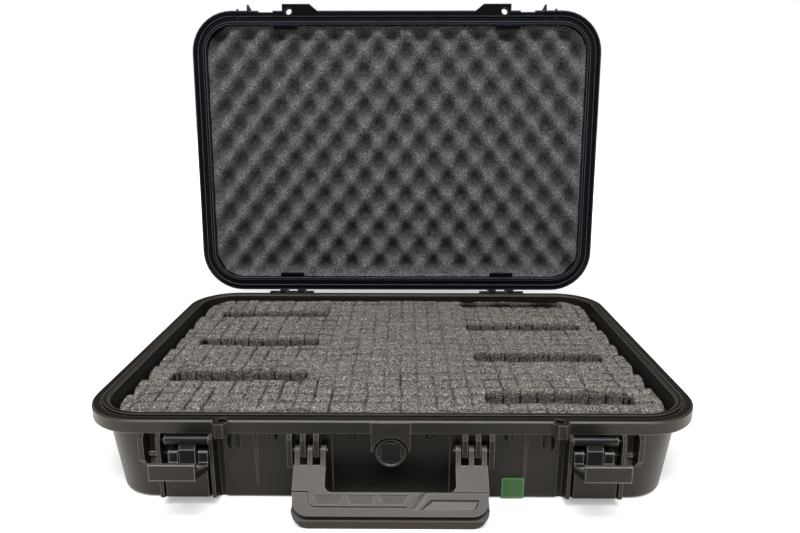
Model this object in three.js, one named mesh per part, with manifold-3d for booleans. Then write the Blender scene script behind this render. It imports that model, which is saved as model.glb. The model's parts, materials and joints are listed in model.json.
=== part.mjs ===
// A hard case with a hinged lid, foam lining, two front latches and a fold-down handle.
// Millimetres, +Z up, X to the right, the front of the case faces -Y.
// The origin is on the surface that the case stands on, at the middle of the base.

import * as THREE from 'three';
import { mergeVertices } from 'three/addons/utils/BufferGeometryUtils.js';
import Module from 'manifold-3d';

const wasm = await Module();
wasm.setup();

const DEG = Math.PI / 180;
const GAP = 0.3;
const OVER = 2;

// Case outline and rim
const CASE_W = 502;
const CASE_D = 347;
const CORNER_R = 50;
const RIM_Z = 74;
const FLANGE_H = 11.7;
const BAND_W = 7.1;
const GROOVE_W = 1.5;
const GROOVE_DEPTH = 2.5;
const LIP_W = 3.7;
const LIP_H = 1.3;
const LEDGE_W = 1.5;

// Base tub below the flange
const SIDE_OVERHANG = 15;
const FRONT_OVERHANG = 8;
const SIDE_DRAFT = 7.5;
const FRONT_DRAFT = 2;
const TUB_WALL = 5.5;
const TUB_FLOOR = 3.5;
const BOTTOM_EDGE_R = 3.5;

// Lid shell, in the closed pose
const LID_FLANGE_H = 7.5;
const LID_DEPTH = 50;
const LID_WALL = 4;
const LID_TOP_WALL = 3;
const LID_OVERHANG = 12;
const LID_DRAFT = 2;
const LID_EDGE_R = 14;
const SEAL_CHANNEL_W = 5.7;
const SEAL_CHANNEL_DEPTH = 5.2;
const SEAL_T = 3.2;
const LID_LIP_W = 3.3;
const LID_PANEL_H = 1.2;
const LID_PANEL_INSET = 42;
const LID_FINS = [[21.1, 6.5, 2.4], [34.1, 1.8, 2]];
const LID_LUG_L = 26.4;
const LID_LUG_OUT = 6.9;
const LID_LUG_SLOPE = 10;
const NOTCH_DEPTH = 2;
const NOTCH_HALF = 9;

// Hinge
const HINGE_BACK = 5.6;
const HINGE_BELOW_RIM = 4.5;
const KNUCKLE_R = 5.2;
const HINGE_PIN_R = 2;
const HINGE_FROM_SIDE = 115;
const KNUCKLE_L = 11.4;
const KNUCKLES = 5;
const LID_OPEN = 94;

// Foam
const BASE_PAD_T = 14.7;
const BASE_FOAM_TOP = 69;
const BASE_FOAM_INSET = 20;
const BASE_FOAM_INSET_Y = 15;
const LID_FOAM_T = 38;
const CONVOLUTE_X = 34;
const CONVOLUTE_Y = 45;
const CONVOLUTE_DEPTH = 14;
const CONVOLUTE_STEPS = 4;
const BED_L = 127;
const BED_W = 24;
const BED_DEPTH = 14;
const BED_R = 8;
const BED_IN = 24.5;
const BED_ROWS_LEFT = [0.675, 0.088, -0.461];
const BED_ROWS_RIGHT = [0.908, 0.391, -0.164, -0.744];
const SLOT_W = 3.4;
const SLOT_DEPTH = 34;
const SLOT_L = 160;

// Foam clips in the lid
const CLIP_L = 31;
const CLIP_REACH = 3;
const CLIP_T = 2.4;
const CLIP_CORNER = 2;

// Latches: a catch with a barrel on the upper pin, a lever on the lower pin
const LATCH_FROM_SIDE = 91.3;
const BARREL_R = 3.9;
const BARREL_HALF = 17.4;
const BARREL_IN = 1.5;
const BARREL_Z = 57;
const CATCH_PIN_R = 1.5;
const CATCH_PIN_PROUD = 2.5;
const TAB_HALF = 6.4;
const TAB_T = 3.5;
const TAB_L = 20;
const TAB_SLOPE = 3.1;
const LEVER_BEHIND_BARREL = 1.5;
const LEVER_BELOW_BARREL = 12.5;
const LEVER_PIN_R = 1.2;
const LEVER_HALF = 17.2;
const LEVER_WEB_T = 2.5;
const HUB_IN = 1.7;
const HUB_OUT = 1.7;
const HUB_BACK = 2.2;
const HUB_FRONT = 3.5;
const HUB_TOP = 3.1;
const HUB_LEDGE = 6.3;
const HUB_LOW = 9.9;
const PLATE_ROOT = 9;
const PLATE_T = 2.5;
const WEB_H = 7;
const LIP_REACH = 39.3;
const LIP_T = 2.5;
const LIP_UP = 12.8;
const LIP_DOWN = -0.8;
const LIP_EDGE = 0.9;
const RIB_T = 4.2;
const LATCH_RIB_OUT_T = 3.1;
const LATCH_RIB_IN_T = 2.7;
const RIB_GAP = 0.5;
const RIB_GAP_OUT = 3.2;
const RIB_PROUD = 4.2;
const RIB_FOOT = 4.5;
const RIB_TOE = 3;
const RIB_LEAN = 3.2;
const RIB_LEAN_H = 3.2;
const RIB_END = 8;
const RIB_HEEL = 2.5;
const GUARD_RIB_LOW = 36;
const GUARD_RIB_TOE = 5;
const GUARD_GAP = 1.4;
const PEDESTAL_UNDER_LEVER = 0.6;
const PEDESTAL_BEHIND_RIBS = 1.2;
const PEDESTAL_GAP_IN = 3;
const PEDESTAL_GAP_OUT = 1.4;
const HOLLOW_DEPTH = 3;
const HOLLOW_W = 5.2;
const SPRING_R = 1.95;
const SPRING_WIRE = 0.8;
const SPRING_PITCH = 1.6;
const SPRING_TURNS = 4;
const SPRING_ENDS = 2.1;

// Padlock lugs
const LUG_FROM_LATCH = 27.3;
const LUG_W = 12.5;
const LUG_PROUD = 7.6;
const LUG_HOLE_R = 3.8;
const LUG_HOLE_IN = 1;
const LUG_HOLE_SHIFT = 1;
const LUG_H = 11.7;

// Small shapes of the front wall
const BOSS_PROUD = 2.6;
const WALL_GROOVE_W = 2.4;
const WALL_GROOVE_DEPTH = 0.9;
const WALL_GROOVE_LOW = 13;
const RECESS_IN = 3.8;
const RECESS_LOW = 5;
const VALVE_RECESS_DEPTH = 2;
const PANEL_HALF = 15.4;

// Handle
const HANDLE_PIN_IN = 2.5;
const HANDLE_PIN_Z = 47.5;
const HANDLE_PIN_R = 1.8;
const HANDLE_HUB_R = 4.2;
const HANDLE_LEAN = 43;
const HANDLE_HALF_W = 76;
const HANDLE_ARM_W = 25.2;
const PRONGS_IN = [2.8, 12.8, 23.1];
const PRONG_T = 3.9;
const PRONG_END = 13.5;
const HANDLE_RIBS_IN = [-3.1, 7.6, 17.9];
const HANDLE_RIB_T = 4.2;
const HANDLE_RIB_LOW = [32, 41.5, 41.5];
const FACE_BACK = 1.3;
const ARM_T = 6;
const FACE_T = 2.7;
const GRIP_S0 = 31.5;
const GRIP_FACE_S = 49;
const GRIP_BOTTOM_S = 56.7;
const GRIP_BACK_S = 48.2;
const GRIP_DEEP = 17.6;
const EDGE_BACK = 8.4;
const HANDLE_CORNER_R = 14;
const HANDLE_INNER_R = 6;
const ARM_TOP_S = 11;

// Pressure valve
const VALVE_Z = 46;
const VALVE_R = 12.8;
const VALVE_STEM_R = 8;
const VALVE_CAP_T = 4.3;
const VALVE_RIM_W = 1.6;
const VALVE_BORE_R = 3.4;
const SEAL_RING_T = 1.8;
const COLLAR_T = 2.2;
const STEM_IN = 11;
const NUT_R = 12;
const NUT_T = 4.4;
const NUT_ROOM = 4;

// Label on the front wall
const LABEL_FROM_HANDLE = 22.5;
const LABEL_HALF_W = 9.4;
const LABEL_H = 18.8;
const LABEL_LOW = 1.2;
const LABEL_T = 0.6;

// Shapes

function roundedRect(halfX, halfY, r, cx = 0, cy = 0) {
  const s = new THREE.Shape();
  s.moveTo(cx + halfX, cy - halfY + r);
  s.absarc(cx + halfX - r, cy + halfY - r, r, 0, Math.PI / 2);
  s.absarc(cx - halfX + r, cy + halfY - r, r, Math.PI / 2, Math.PI);
  s.absarc(cx - halfX + r, cy - halfY + r, r, Math.PI, Math.PI * 1.5);
  s.absarc(cx + halfX - r, cy - halfY + r, r, Math.PI * 1.5, Math.PI * 2);
  s.closePath();
  return s;
}

function ring(halfX, halfY, r, steps) {
  const points = [];
  for (let corner = 0; corner < 4; corner += 1) {
    const cx = (corner === 0 || corner === 3 ? 1 : -1) * (halfX - r);
    const cy = (corner < 2 ? 1 : -1) * (halfY - r);
    for (let i = 0; i <= steps; i += 1) {
      const a = (corner + i / steps) * Math.PI / 2;
      points.push([cx + r * Math.cos(a), cy + r * Math.sin(a)]);
    }
  }
  return points;
}

function solid(geometry) {
  const g = geometry.clone();
  g.deleteAttribute('normal');
  g.deleteAttribute('uv');
  const m = mergeVertices(g, 1e-4);
  const mesh = new wasm.Mesh({
    numProp: 3,
    vertProperties: new Float32Array(m.attributes.position.array),
    triVerts: new Uint32Array(m.index.array),
  });
  return new wasm.Manifold(mesh);
}

function geometryOf(manifold) {
  const mesh = manifold.getMesh();
  const g = new THREE.BufferGeometry();
  g.setAttribute('position', new THREE.BufferAttribute(mesh.vertProperties, 3));
  g.setIndex(new THREE.BufferAttribute(mesh.triVerts, 1));
  g.computeVertexNormals();
  return g;
}

// A closed body through a stack of rounded rectangles: each level is [z, halfX, halfY, radius].
function loft(levels, steps = 10) {
  const rings = levels.map(([z, hx, hy, r]) => ring(hx, hy, r, steps).map(([x, y]) => [x, y, z]));
  const n = rings[0].length;
  const positions = rings.flat(2);
  const index = [];
  for (let k = 0; k + 1 < rings.length; k += 1) {
    for (let i = 0; i < n; i += 1) {
      const a = k * n + i;
      const b = k * n + (i + 1) % n;
      index.push(a, b, b + n, a, b + n, a + n);
    }
  }
  const top = (rings.length - 1) * n;
  for (let i = 1; i + 1 < n; i += 1) {
    index.push(0, i + 1, i);
    index.push(top, top + i, top + i + 1);
  }
  const g = new THREE.BufferGeometry();
  g.setAttribute('position', new THREE.Float32BufferAttribute(positions, 3));
  g.setIndex(index);
  return solid(g);
}

function box(x0, x1, y0, y1, z0, z1) {
  const g = new THREE.BoxGeometry(x1 - x0, y1 - y0, z1 - z0);
  g.translate((x0 + x1) / 2, (y0 + y1) / 2, (z0 + z1) / 2);
  return solid(g);
}

function shapeOf(points) {
  return new THREE.Shape(points.map(([a, b]) => new THREE.Vector2(a, b)));
}

function slab(shape, depth, curveSegments = 8) {
  return new THREE.ExtrudeGeometry(shape, { depth, bevelEnabled: false, curveSegments, steps: 1 });
}

// A polygon of (x, y) points, extruded from z0 to z1
function prismZ(points, z0, z1) {
  const g = slab(shapeOf(points), z1 - z0);
  g.translate(0, 0, z0);
  return solid(g);
}

// A polygon of (y, z) points, extruded from x0 to x1
function prismX(points, x0, x1) {
  const g = slab(shapeOf(points), x1 - x0);
  g.rotateX(Math.PI / 2);
  g.rotateZ(Math.PI / 2);
  g.translate(x0, 0, 0);
  return solid(g);
}

// A shape drawn in x and z, extruded from y0 to y1
function plateXZ(shape, y0, y1, curveSegments = 8) {
  const g = slab(shape, y1 - y0, curveSegments);
  g.rotateX(Math.PI / 2);
  g.translate(0, y1, 0);
  return solid(g);
}

function rodX(r, x0, x1, y, z, sides = 16) {
  const g = new THREE.CylinderGeometry(r, r, x1 - x0, sides);
  g.rotateZ(Math.PI / 2);
  g.translate((x0 + x1) / 2, y, z);
  return solid(g);
}

function rodY(r, y0, y1, x, z, sides = 24) {
  const g = new THREE.CylinderGeometry(r, r, y1 - y0, sides);
  g.translate(x, (y0 + y1) / 2, z);
  return solid(g);
}

function rodZ(r, z0, z1, x, y, sides = 20) {
  const g = new THREE.CylinderGeometry(r, r, z1 - z0, sides);
  g.rotateX(Math.PI / 2);
  g.translate(x, y, (z0 + z1) / 2);
  return solid(g);
}

function union(parts) {
  return parts.reduce((a, b) => a.add(b));
}

function cut(body, tools) {
  return tools.reduce((a, b) => a.subtract(b), body);
}

function finish(color, roughness, metalness) {
  return new THREE.MeshStandardMaterial({ color, roughness, metalness });
}

const SHELL = finish(0x35322f, 0.55, 0);
const LID_BLACK = finish(0x15171c, 0.45, 0);
const HANDLE_GREY = finish(0x6b6762, 0.6, 0);
const GRIP_DARK = finish(0x4a443f, 0.7, 0);
const LATCH_GREY = finish(0x3a3a3e, 0.5, 0);
const BASE_FOAM = finish(0x6c655f, 0.95, 0);
const LID_FOAM = finish(0x4c4c50, 0.95, 0);
const STEEL = finish(0xb9b9b6, 0.3, 0.9);
const RUBBER = finish(0x1b1b1b, 0.8, 0);
const LABEL_GREEN = finish(0x2f6a3a, 0.5, 0);

function part(name, manifold, material) {
  const mesh = new THREE.Mesh(geometryOf(manifold), material);
  mesh.name = name;
  return mesh;
}

function sideName(side) {
  return side < 0 ? 'left' : 'right';
}

// Sizes worked out from the driving dimensions
const HALF_W = CASE_W / 2;
const HALF_D = CASE_D / 2;
const FLANGE_Z = RIM_Z - FLANGE_H;
const WALL_HALF_X = HALF_W - SIDE_OVERHANG;
const WALL_HALF_Y = HALF_D - FRONT_OVERHANG;
const WALL_R = CORNER_R - SIDE_OVERHANG;
const GROOVE_IN = BAND_W + GROOVE_W;
const LIP_IN = GROOVE_IN + LIP_W;
const MOUTH_IN = LIP_IN + LEDGE_W;
const HINGE_X = HALF_W - HINGE_FROM_SIDE;
const HINGE_Y = HALF_D + HINGE_BACK;
const HINGE_Z = RIM_Z - HINGE_BELOW_RIM;
const VALVE_WALL_Y = WALL_HALF_Y - VALVE_RECESS_DEPTH;
const LID_Z = RIM_Z + GAP;
const LID_FLANGE_Z = LID_Z + LID_FLANGE_H;
const LID_TOP = LID_Z + LID_DEPTH;
const LID_MOUTH_IN = BAND_W + SEAL_CHANNEL_W + LID_LIP_W;
const HINGE_HALF = KNUCKLES * KNUCKLE_L / 2;
const CLIP_X = HINGE_X;
const LATCH_X = HALF_W - LATCH_FROM_SIDE;
const LUG_X = LATCH_X - LUG_FROM_LATCH;
const BARREL_Y = HALF_D - BARREL_IN;
const LEVER_Y = BARREL_Y - LEVER_BEHIND_BARREL;
const LEVER_Z = BARREL_Z - LEVER_BELOW_BARREL;
const HANDLE_PIN_Y = HALF_D - HANDLE_PIN_IN;
const HANDLE_ARM_IN = HANDLE_HALF_W - HANDLE_ARM_W;
const PRONG_X = PRONGS_IN.map((d) => HANDLE_HALF_W - d);
const HANDLE_RIB_X = HANDLE_RIBS_IN.map((d) => HANDLE_HALF_W - d);
const RECESS_HALF = HANDLE_ARM_IN - RECESS_IN;
const LABEL_X = HANDLE_HALF_W + LABEL_FROM_HANDLE;
const WALL_GROOVE_X = (HANDLE_RIB_X[0] + LUG_X) / 2 + 2.2;
const WALL_BOSSES = [
  [LUG_X - 7.1, 6, 43], [HANDLE_RIB_X[0] + 14.4, 3.5, 52.5], [HANDLE_ARM_IN - 19.8, 3.5, 53],
];

function inset(z, distance) {
  return [z, HALF_W - distance, HALF_D - distance, CORNER_R - distance];
}

// Base

function tubLevel(z, extra = 0) {
  const low = 1 - z / FLANGE_Z;
  const hx = WALL_HALF_X - SIDE_DRAFT * low - extra;
  const hy = WALL_HALF_Y - FRONT_DRAFT * low - extra;
  return [z, hx, hy, WALL_R - extra];
}

function tubBody() {
  const levels = [];
  const steps = 3;
  for (let i = 0; i <= steps; i += 1) {
    const a = i / steps * Math.PI / 2;
    levels.push(tubLevel(BOTTOM_EDGE_R * (1 - Math.cos(a)), BOTTOM_EDGE_R * (1 - Math.sin(a))));
  }
  levels.push(tubLevel(FLANGE_Z + 1));
  return loft(levels);
}

function rimBody() {
  const chamfer = 1;
  const rim = loft([
    inset(FLANGE_Z, chamfer),
    inset(FLANGE_Z + chamfer, 0),
    inset(RIM_Z - chamfer, 0),
    inset(RIM_Z, chamfer),
  ]);
  const lip = loft([inset(RIM_Z - GROOVE_DEPTH, GROOVE_IN), inset(RIM_Z + LIP_H, GROOVE_IN)]);
  const groove = loft([inset(RIM_Z - GROOVE_DEPTH, BAND_W), inset(RIM_Z + OVER, BAND_W)]);
  return rim.subtract(groove).add(lip);
}

function tubCavity() {
  const floorLevel = tubLevel(TUB_FLOOR, TUB_WALL);
  const shoulder = tubLevel(FLANGE_Z - 2, TUB_WALL);
  return union([
    loft([floorLevel, shoulder, inset(RIM_Z - 1, MOUTH_IN), inset(RIM_Z + LIP_H + OVER, MOUTH_IN)]),
    loft([inset(RIM_Z, LIP_IN), inset(RIM_Z + LIP_H + OVER, LIP_IN)]),
  ]);
}

const STUB_L = SPRING_TURNS * SPRING_PITCH + SPRING_ENDS;
const RIB_FRONT = BARREL_Y + RIB_PROUD;
const RIB_ROOT = WALL_HALF_Y - 3;
const LATCH_RIB_OUT = LATCH_X + BARREL_HALF + RIB_GAP_OUT;
const LATCH_RIB_IN = LATCH_X - BARREL_HALF - RIB_GAP;
const PEDESTAL_H = LEVER_Z - HUB_LOW - PEDESTAL_UNDER_LEVER;
const PEDESTAL_FRONT = RIB_FRONT - PEDESTAL_BEHIND_RIBS;
const GUARD_RIB_X = LATCH_RIB_OUT + LATCH_RIB_OUT_T + STUB_L + GUARD_GAP;

// Points of a rib's upper end, where its front leans back under the flange
function ribTop() {
  return [[-RIB_FRONT, FLANGE_Z - RIB_LEAN_H], [-RIB_FRONT + RIB_LEAN, FLANGE_Z + 1]];
}

// A rib on the front wall: two x faces, its lower end and how far its foot runs down
function frontRib(xa, xb, zLow, toe) {
  return prismX([
    [-RIB_ROOT, FLANGE_Z + 1], [-RIB_ROOT, zLow - toe], [-RIB_ROOT - RIB_FOOT, zLow - toe],
    [-RIB_FRONT, zLow + toe], ...ribTop(),
  ], Math.min(xa, xb), Math.max(xa, xb));
}

// A rib or block that runs down to the bottom, its underside sloping back to the wall
function longRib(side, xIn, xOut, front, zTop, top) {
  const x = [side * xIn, side * xOut].sort((a, b) => a - b);
  return prismX([
    [-RIB_ROOT, zTop], [-RIB_ROOT, RIB_HEEL], [-front, RIB_END], ...top,
  ], x[0], x[1]);
}

function latchMount(side) {
  const guardOut = GUARD_RIB_X + RIB_T;
  const ribIn = LATCH_RIB_IN - LATCH_RIB_IN_T;
  const ribOut = LATCH_RIB_OUT + LATCH_RIB_OUT_T;
  const pedestalIn = LATCH_RIB_IN + PEDESTAL_GAP_IN;
  const pedestalOut = LATCH_RIB_OUT - PEDESTAL_GAP_OUT;
  return union([
    frontRib(side * GUARD_RIB_X, side * guardOut, GUARD_RIB_LOW, GUARD_RIB_TOE),
    longRib(side, ribIn, LATCH_RIB_IN, RIB_FRONT, FLANGE_Z + 1, ribTop()),
    longRib(side, LATCH_RIB_OUT, ribOut, RIB_FRONT, FLANGE_Z + 1, ribTop()),
    longRib(side, pedestalIn, pedestalOut, PEDESTAL_FRONT, PEDESTAL_H, [[-PEDESTAL_FRONT, PEDESTAL_H]]),
  ]);
}

// Hollows in the outside of the wall: one beside the latch's long rib, one behind the spring
function latchHollows(side) {
  const xInner = LATCH_RIB_IN - LATCH_RIB_IN_T;
  const xSpring = LATCH_RIB_OUT + LATCH_RIB_OUT_T;
  const y = WALL_HALF_Y - HOLLOW_DEPTH;
  const x = [side * xInner, side * (xInner - HOLLOW_W)].sort((a, b) => a - b);
  const beside = prismX([
    [-WALL_HALF_Y - 1, FLANGE_Z], [-y, FLANGE_Z], [-y + FRONT_DRAFT, -1], [-WALL_HALF_Y - 1, -1],
  ], x[0], x[1]);
  const behind = shapeOf([
    [side * xSpring, FLANGE_Z], [side * xSpring, GUARD_RIB_LOW + GUARD_RIB_TOE],
    [side * (GUARD_RIB_X - 1), GUARD_RIB_LOW - 1], [side * GUARD_RIB_X, GUARD_RIB_LOW],
    [side * GUARD_RIB_X, FLANGE_Z],
  ]);
  return [beside, plateXZ(behind, -WALL_HALF_Y - 1, -y)];
}

// Round-ended bosses on the front wall, under the flange: [x, radius, lower end]
function wallBosses() {
  const bosses = [];
  for (const [x, r, zLow] of WALL_BOSSES) {
    const wall = x < RECESS_HALF ? VALVE_WALL_Y : WALL_HALF_Y;
    const y = -wall - BOSS_PROUD + r;
    for (const side of [-1, 1]) {
      const ball = new THREE.SphereGeometry(r, 16, 8);
      ball.rotateX(Math.PI / 2);
      ball.translate(side * x, y, zLow + r);
      bosses.push(rodZ(r, zLow + r, FLANGE_Z + 1, side * x, y, 16), solid(ball));
    }
  }
  return union(bosses);
}

// A groove down the front wall that narrows toward its lower end
function wallGroove(side) {
  const x = side * WALL_GROOVE_X;
  const taper = shapeOf([
    [x - WALL_GROOVE_W / 2, FLANGE_Z], [x + WALL_GROOVE_W / 2, FLANGE_Z],
    [x + 0.3, WALL_GROOVE_LOW], [x - 0.3, WALL_GROOVE_LOW],
  ]);
  const y = -WALL_HALF_Y + WALL_GROOVE_DEPTH;
  const leaning = prismX([
    [-HALF_D, FLANGE_Z], [y, FLANGE_Z], [y + FRONT_DRAFT, 0], [-HALF_D, 0],
  ], x - WALL_GROOVE_W, x + WALL_GROOVE_W);
  return leaning.intersect(plateXZ(taper, -HALF_D, -RIB_ROOT + TUB_WALL));
}

function latchHoles(side) {
  const out = LATCH_RIB_OUT + LATCH_RIB_OUT_T + OVER;
  const inner = LATCH_RIB_IN - LATCH_RIB_IN_T - OVER;
  const x0 = Math.min(side * out, side * inner);
  const x1 = Math.max(side * out, side * inner);
  return [
    rodX(CATCH_PIN_R + GAP, x0, x1, -BARREL_Y, BARREL_Z, 16),
    rodX(LEVER_PIN_R + GAP, x0, x1, -LEVER_Y, LEVER_Z, 16),
  ];
}

function handleMount(side) {
  const parts = HANDLE_RIB_X.map((x, i) => {
    const x0 = side * x - HANDLE_RIB_T / 2;
    return frontRib(x0, x0 + HANDLE_RIB_T, HANDLE_RIB_LOW[i], RIB_TOE);
  });
  return union(parts);
}

function handleBore(side) {
  const x = side * HANDLE_RIB_X[1];
  const half = 1.5 * (HANDLE_RIB_X[0] - HANDLE_RIB_X[1]);
  return rodX(HANDLE_PIN_R + GAP, x - half, x + half, -HANDLE_PIN_Y, HANDLE_PIN_Z, 16);
}

function lugOutline(side, x, halfW) {
  const front = HALF_D + LUG_PROUD - 1.5;
  const c = 3;
  return [
    [side * x - halfW, -HALF_D + 3], [side * x - halfW, -front + c], [side * x - halfW + c, -front],
    [side * x + halfW - c, -front], [side * x + halfW, -front + c], [side * x + halfW, -HALF_D + 3],
  ];
}

function baseLug(side) {
  return prismZ(lugOutline(side, LUG_X, LUG_W / 2), RIM_Z - LUG_H, RIM_Z);
}

function lugHole(side) {
  return rodZ(LUG_HOLE_R, RIM_Z - LUG_H - OVER, RIM_Z + LID_DEPTH, side * (LUG_X - LUG_HOLE_SHIFT),
    -HALF_D + LUG_HOLE_IN);
}

function hingeBlocks(side, isLid) {
  const parts = [];
  for (let i = 0; i < KNUCKLES; i += 1) {
    const onLid = i % 2 === 1;
    if (onLid === isLid) {
      const x0 = side * HINGE_X - HINGE_HALF + i * KNUCKLE_L + GAP;
      const x1 = x0 + KNUCKLE_L - 2 * GAP;
      parts.push(rodX(KNUCKLE_R, x0, x1, HINGE_Y, HINGE_Z));
      if (isLid) {
        parts.push(box(x0, x1, HALF_D - 2, HINGE_Y + KNUCKLE_R, RIM_Z + 2 * GAP, LID_FLANGE_Z));
        parts.push(box(x0, x1, HINGE_Y - 4, HINGE_Y + KNUCKLE_R, HINGE_Z, RIM_Z + 1));
      } else {
        parts.push(prismX([
          [HALF_D - 2, HINGE_Z + 3], [HALF_D - 2, FLANGE_Z + 1], [HINGE_Y, HINGE_Z - KNUCKLE_R],
          [HINGE_Y, HINGE_Z + 3],
        ], x0, x1));
      }
    } else if (!isLid) {
      const x0 = side * HINGE_X - HINGE_HALF + i * KNUCKLE_L + GAP;
      const x1 = x0 + KNUCKLE_L - 2 * GAP;
      const stopTop = HINGE_Z - KNUCKLE_R - 1.2;
      parts.push(prismX([
        [WALL_HALF_Y - 2, stopTop - 1], [WALL_HALF_Y - 2, 42], [HINGE_Y + 5, stopTop - 6],
        [HINGE_Y + 8, stopTop], [HALF_D - 1, stopTop],
      ], x0, x1));
    }
  }
  return union(parts);
}

function hingeBore(side) {
  const x = side * HINGE_X;
  return rodX(HINGE_PIN_R + GAP, x - HINGE_HALF - OVER, x + HINGE_HALF + OVER, HINGE_Y, HINGE_Z, 16);
}

function valvePanel() {
  const face = new THREE.Shape();
  const low = VALVE_Z + 2;
  face.moveTo(PANEL_HALF, RIM_Z - 1);
  face.lineTo(-PANEL_HALF, RIM_Z - 1);
  face.lineTo(-PANEL_HALF, low);
  face.lineTo(PANEL_HALF, low);
  face.closePath();
  const panel = plateXZ(face, -HALF_D - 0.6, -WALL_HALF_Y + 3);
  return panel.subtract(rodY(VALVE_R + 1.6, -HALF_D - OVER, -WALL_HALF_Y + 4, 0, VALVE_Z, 32));
}

function wallRecess() {
  return box(-RECESS_HALF, RECESS_HALF, -HALF_D, -VALVE_WALL_Y, RECESS_LOW, FLANGE_Z);
}

function baseShell() {
  let body = tubBody();
  body = cut(body, [wallRecess(), wallGroove(-1), wallGroove(1), ...latchHollows(-1), ...latchHollows(1)]);
  body = cut(union([body, rimBody(), wallBosses()]), [tubCavity()]);
  body = union([body, valvePanel()]);
  for (const side of [-1, 1]) {
    body = union([body, latchMount(side), handleMount(side), baseLug(side), hingeBlocks(side, false)]);
    body = cut(body, [...latchHoles(side), lugHole(side), hingeBore(side), handleBore(side)]);
  }
  const groove = loft([inset(RIM_Z - GROOVE_DEPTH, BAND_W), inset(RIM_Z + OVER, BAND_W)])
    .subtract(loft([inset(RIM_Z - GROOVE_DEPTH - 1, GROOVE_IN), inset(RIM_Z + OVER + 1, GROOVE_IN)]));
  body = cut(body, [groove, rodY(VALVE_STEM_R + GAP, -WALL_HALF_Y - 4, -WALL_HALF_Y + 12, 0, VALVE_Z, 32)]);
  return cut(body, [loft([inset(RIM_Z, MOUTH_IN), inset(RIM_Z + 9, MOUTH_IN)])]);
}

// Foam in the base, with rows of beds from the left and from the right, each with its slot
const FOAM_HALF_X = HALF_W - BASE_FOAM_INSET;
const FOAM_HALF_Y = HALF_D - BASE_FOAM_INSET_Y;
const FOAM_R = 35;
const FOAM_ROOM = 0.6;
const FOAM_Z0 = TUB_FLOOR + GAP + BASE_PAD_T + GAP;

function bedCut(side, y) {
  const outer = FOAM_HALF_X - BED_IN;
  const middle = side * (outer - BED_L / 2);
  const g = slab(roundedRect(BED_L / 2, BED_W / 2, BED_R, middle, y), BED_DEPTH + OVER, 3);
  g.translate(0, 0, BASE_FOAM_TOP - BED_DEPTH);
  const slotStart = outer - BED_L + BED_R;
  const x = [side * slotStart, side * (slotStart - SLOT_L)].sort((a, b) => a - b);
  const slot = box(x[0], x[1], y - SLOT_W / 2, y + SLOT_W / 2,
    BASE_FOAM_TOP - SLOT_DEPTH, BASE_FOAM_TOP + OVER);
  return solid(g).add(slot);
}

function allBeds() {
  const left = BED_ROWS_LEFT.map((row) => bedCut(-1, row * FOAM_HALF_Y));
  const right = BED_ROWS_RIGHT.map((row) => bedCut(1, row * FOAM_HALF_Y));
  return [...left, ...right];
}

// Room in the foam for the nut behind the valve
function nutPocket() {
  const half = NUT_R + NUT_ROOM;
  const y1 = -VALVE_WALL_Y + STEM_IN + NUT_ROOM;
  return box(-half, half, -HALF_D, y1, VALVE_Z - half, BASE_FOAM_TOP + OVER);
}

function baseFoam() {
  const body = loft([
    [FOAM_Z0, tubLevel(FOAM_Z0, TUB_WALL + FOAM_ROOM)[1], FOAM_HALF_Y - 0.6, FOAM_R],
    [BASE_FOAM_TOP, FOAM_HALF_X, FOAM_HALF_Y - 0.4, FOAM_R],
  ], 5);
  return cut(body, [...allBeds(), nutPocket()]);
}

function basePad() {
  const z = TUB_FLOOR + GAP;
  const [, hx, hy] = tubLevel(z, TUB_WALL + FOAM_ROOM);
  return loft([[z, hx, hy, FOAM_R], [z + BASE_PAD_T, hx, hy, FOAM_R]], 5);
}

// Lid, in the closed pose

// Upright fins on the lid's front edge: [x outward of the latch, how far proud, thickness]
function lidFins(side) {
  const parts = [];
  for (const [outward, proud, t] of LID_FINS) {
    const x = LATCH_X + outward;
    parts.push(prismX([
      [-HALF_D + 2, LID_FLANGE_Z - 0.5], [-HALF_D - proud, LID_Z + 1.5], [-HALF_D - proud, LID_Z],
      [-HALF_D + 2, LID_Z],
    ], side * x - t / 2, side * x + t / 2));
  }
  return union(parts);
}

function lidLug(side) {
  const front = HALF_D + LUG_PROUD;
  const xOut = LUG_X + LID_LUG_OUT;
  const xIn = LUG_X - LID_LUG_L;
  const xEnd = xIn - LID_LUG_SLOPE;
  const points = [
    [side * xOut, -HALF_D + 3], [side * xOut, -front], [side * xIn, -front],
    [side * xEnd, -HALF_D + 0.5], [side * xEnd, -HALF_D + 3],
  ];
  return prismZ(side > 0 ? points.reverse() : points, LID_Z, LID_FLANGE_Z);
}

function lidOuter() {
  const chamfer = 1;
  const wall = LID_OVERHANG;
  const levels = [
    inset(LID_Z, chamfer), inset(LID_Z + chamfer, 0), inset(LID_FLANGE_Z - chamfer, 0),
    inset(LID_FLANGE_Z, chamfer),
  ];
  const dome = [inset(LID_FLANGE_Z - OVER, wall)];
  const steps = 3;
  for (let i = 0; i <= steps; i += 1) {
    const a = i / steps * Math.PI / 2;
    const z = LID_TOP - LID_EDGE_R * (1 - Math.sin(a));
    dome.push(inset(z, wall + LID_DRAFT + LID_EDGE_R * (1 - Math.cos(a))));
  }
  const panel = LID_PANEL_INSET;
  const raised = loft([
    [LID_TOP - OVER, HALF_W - panel, HALF_D - panel, 24],
    [LID_TOP + LID_PANEL_H, HALF_W - panel - LID_PANEL_H, HALF_D - panel - LID_PANEL_H, 23],
  ], 5);
  return union([loft(levels), loft(dome), raised]);
}

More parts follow.
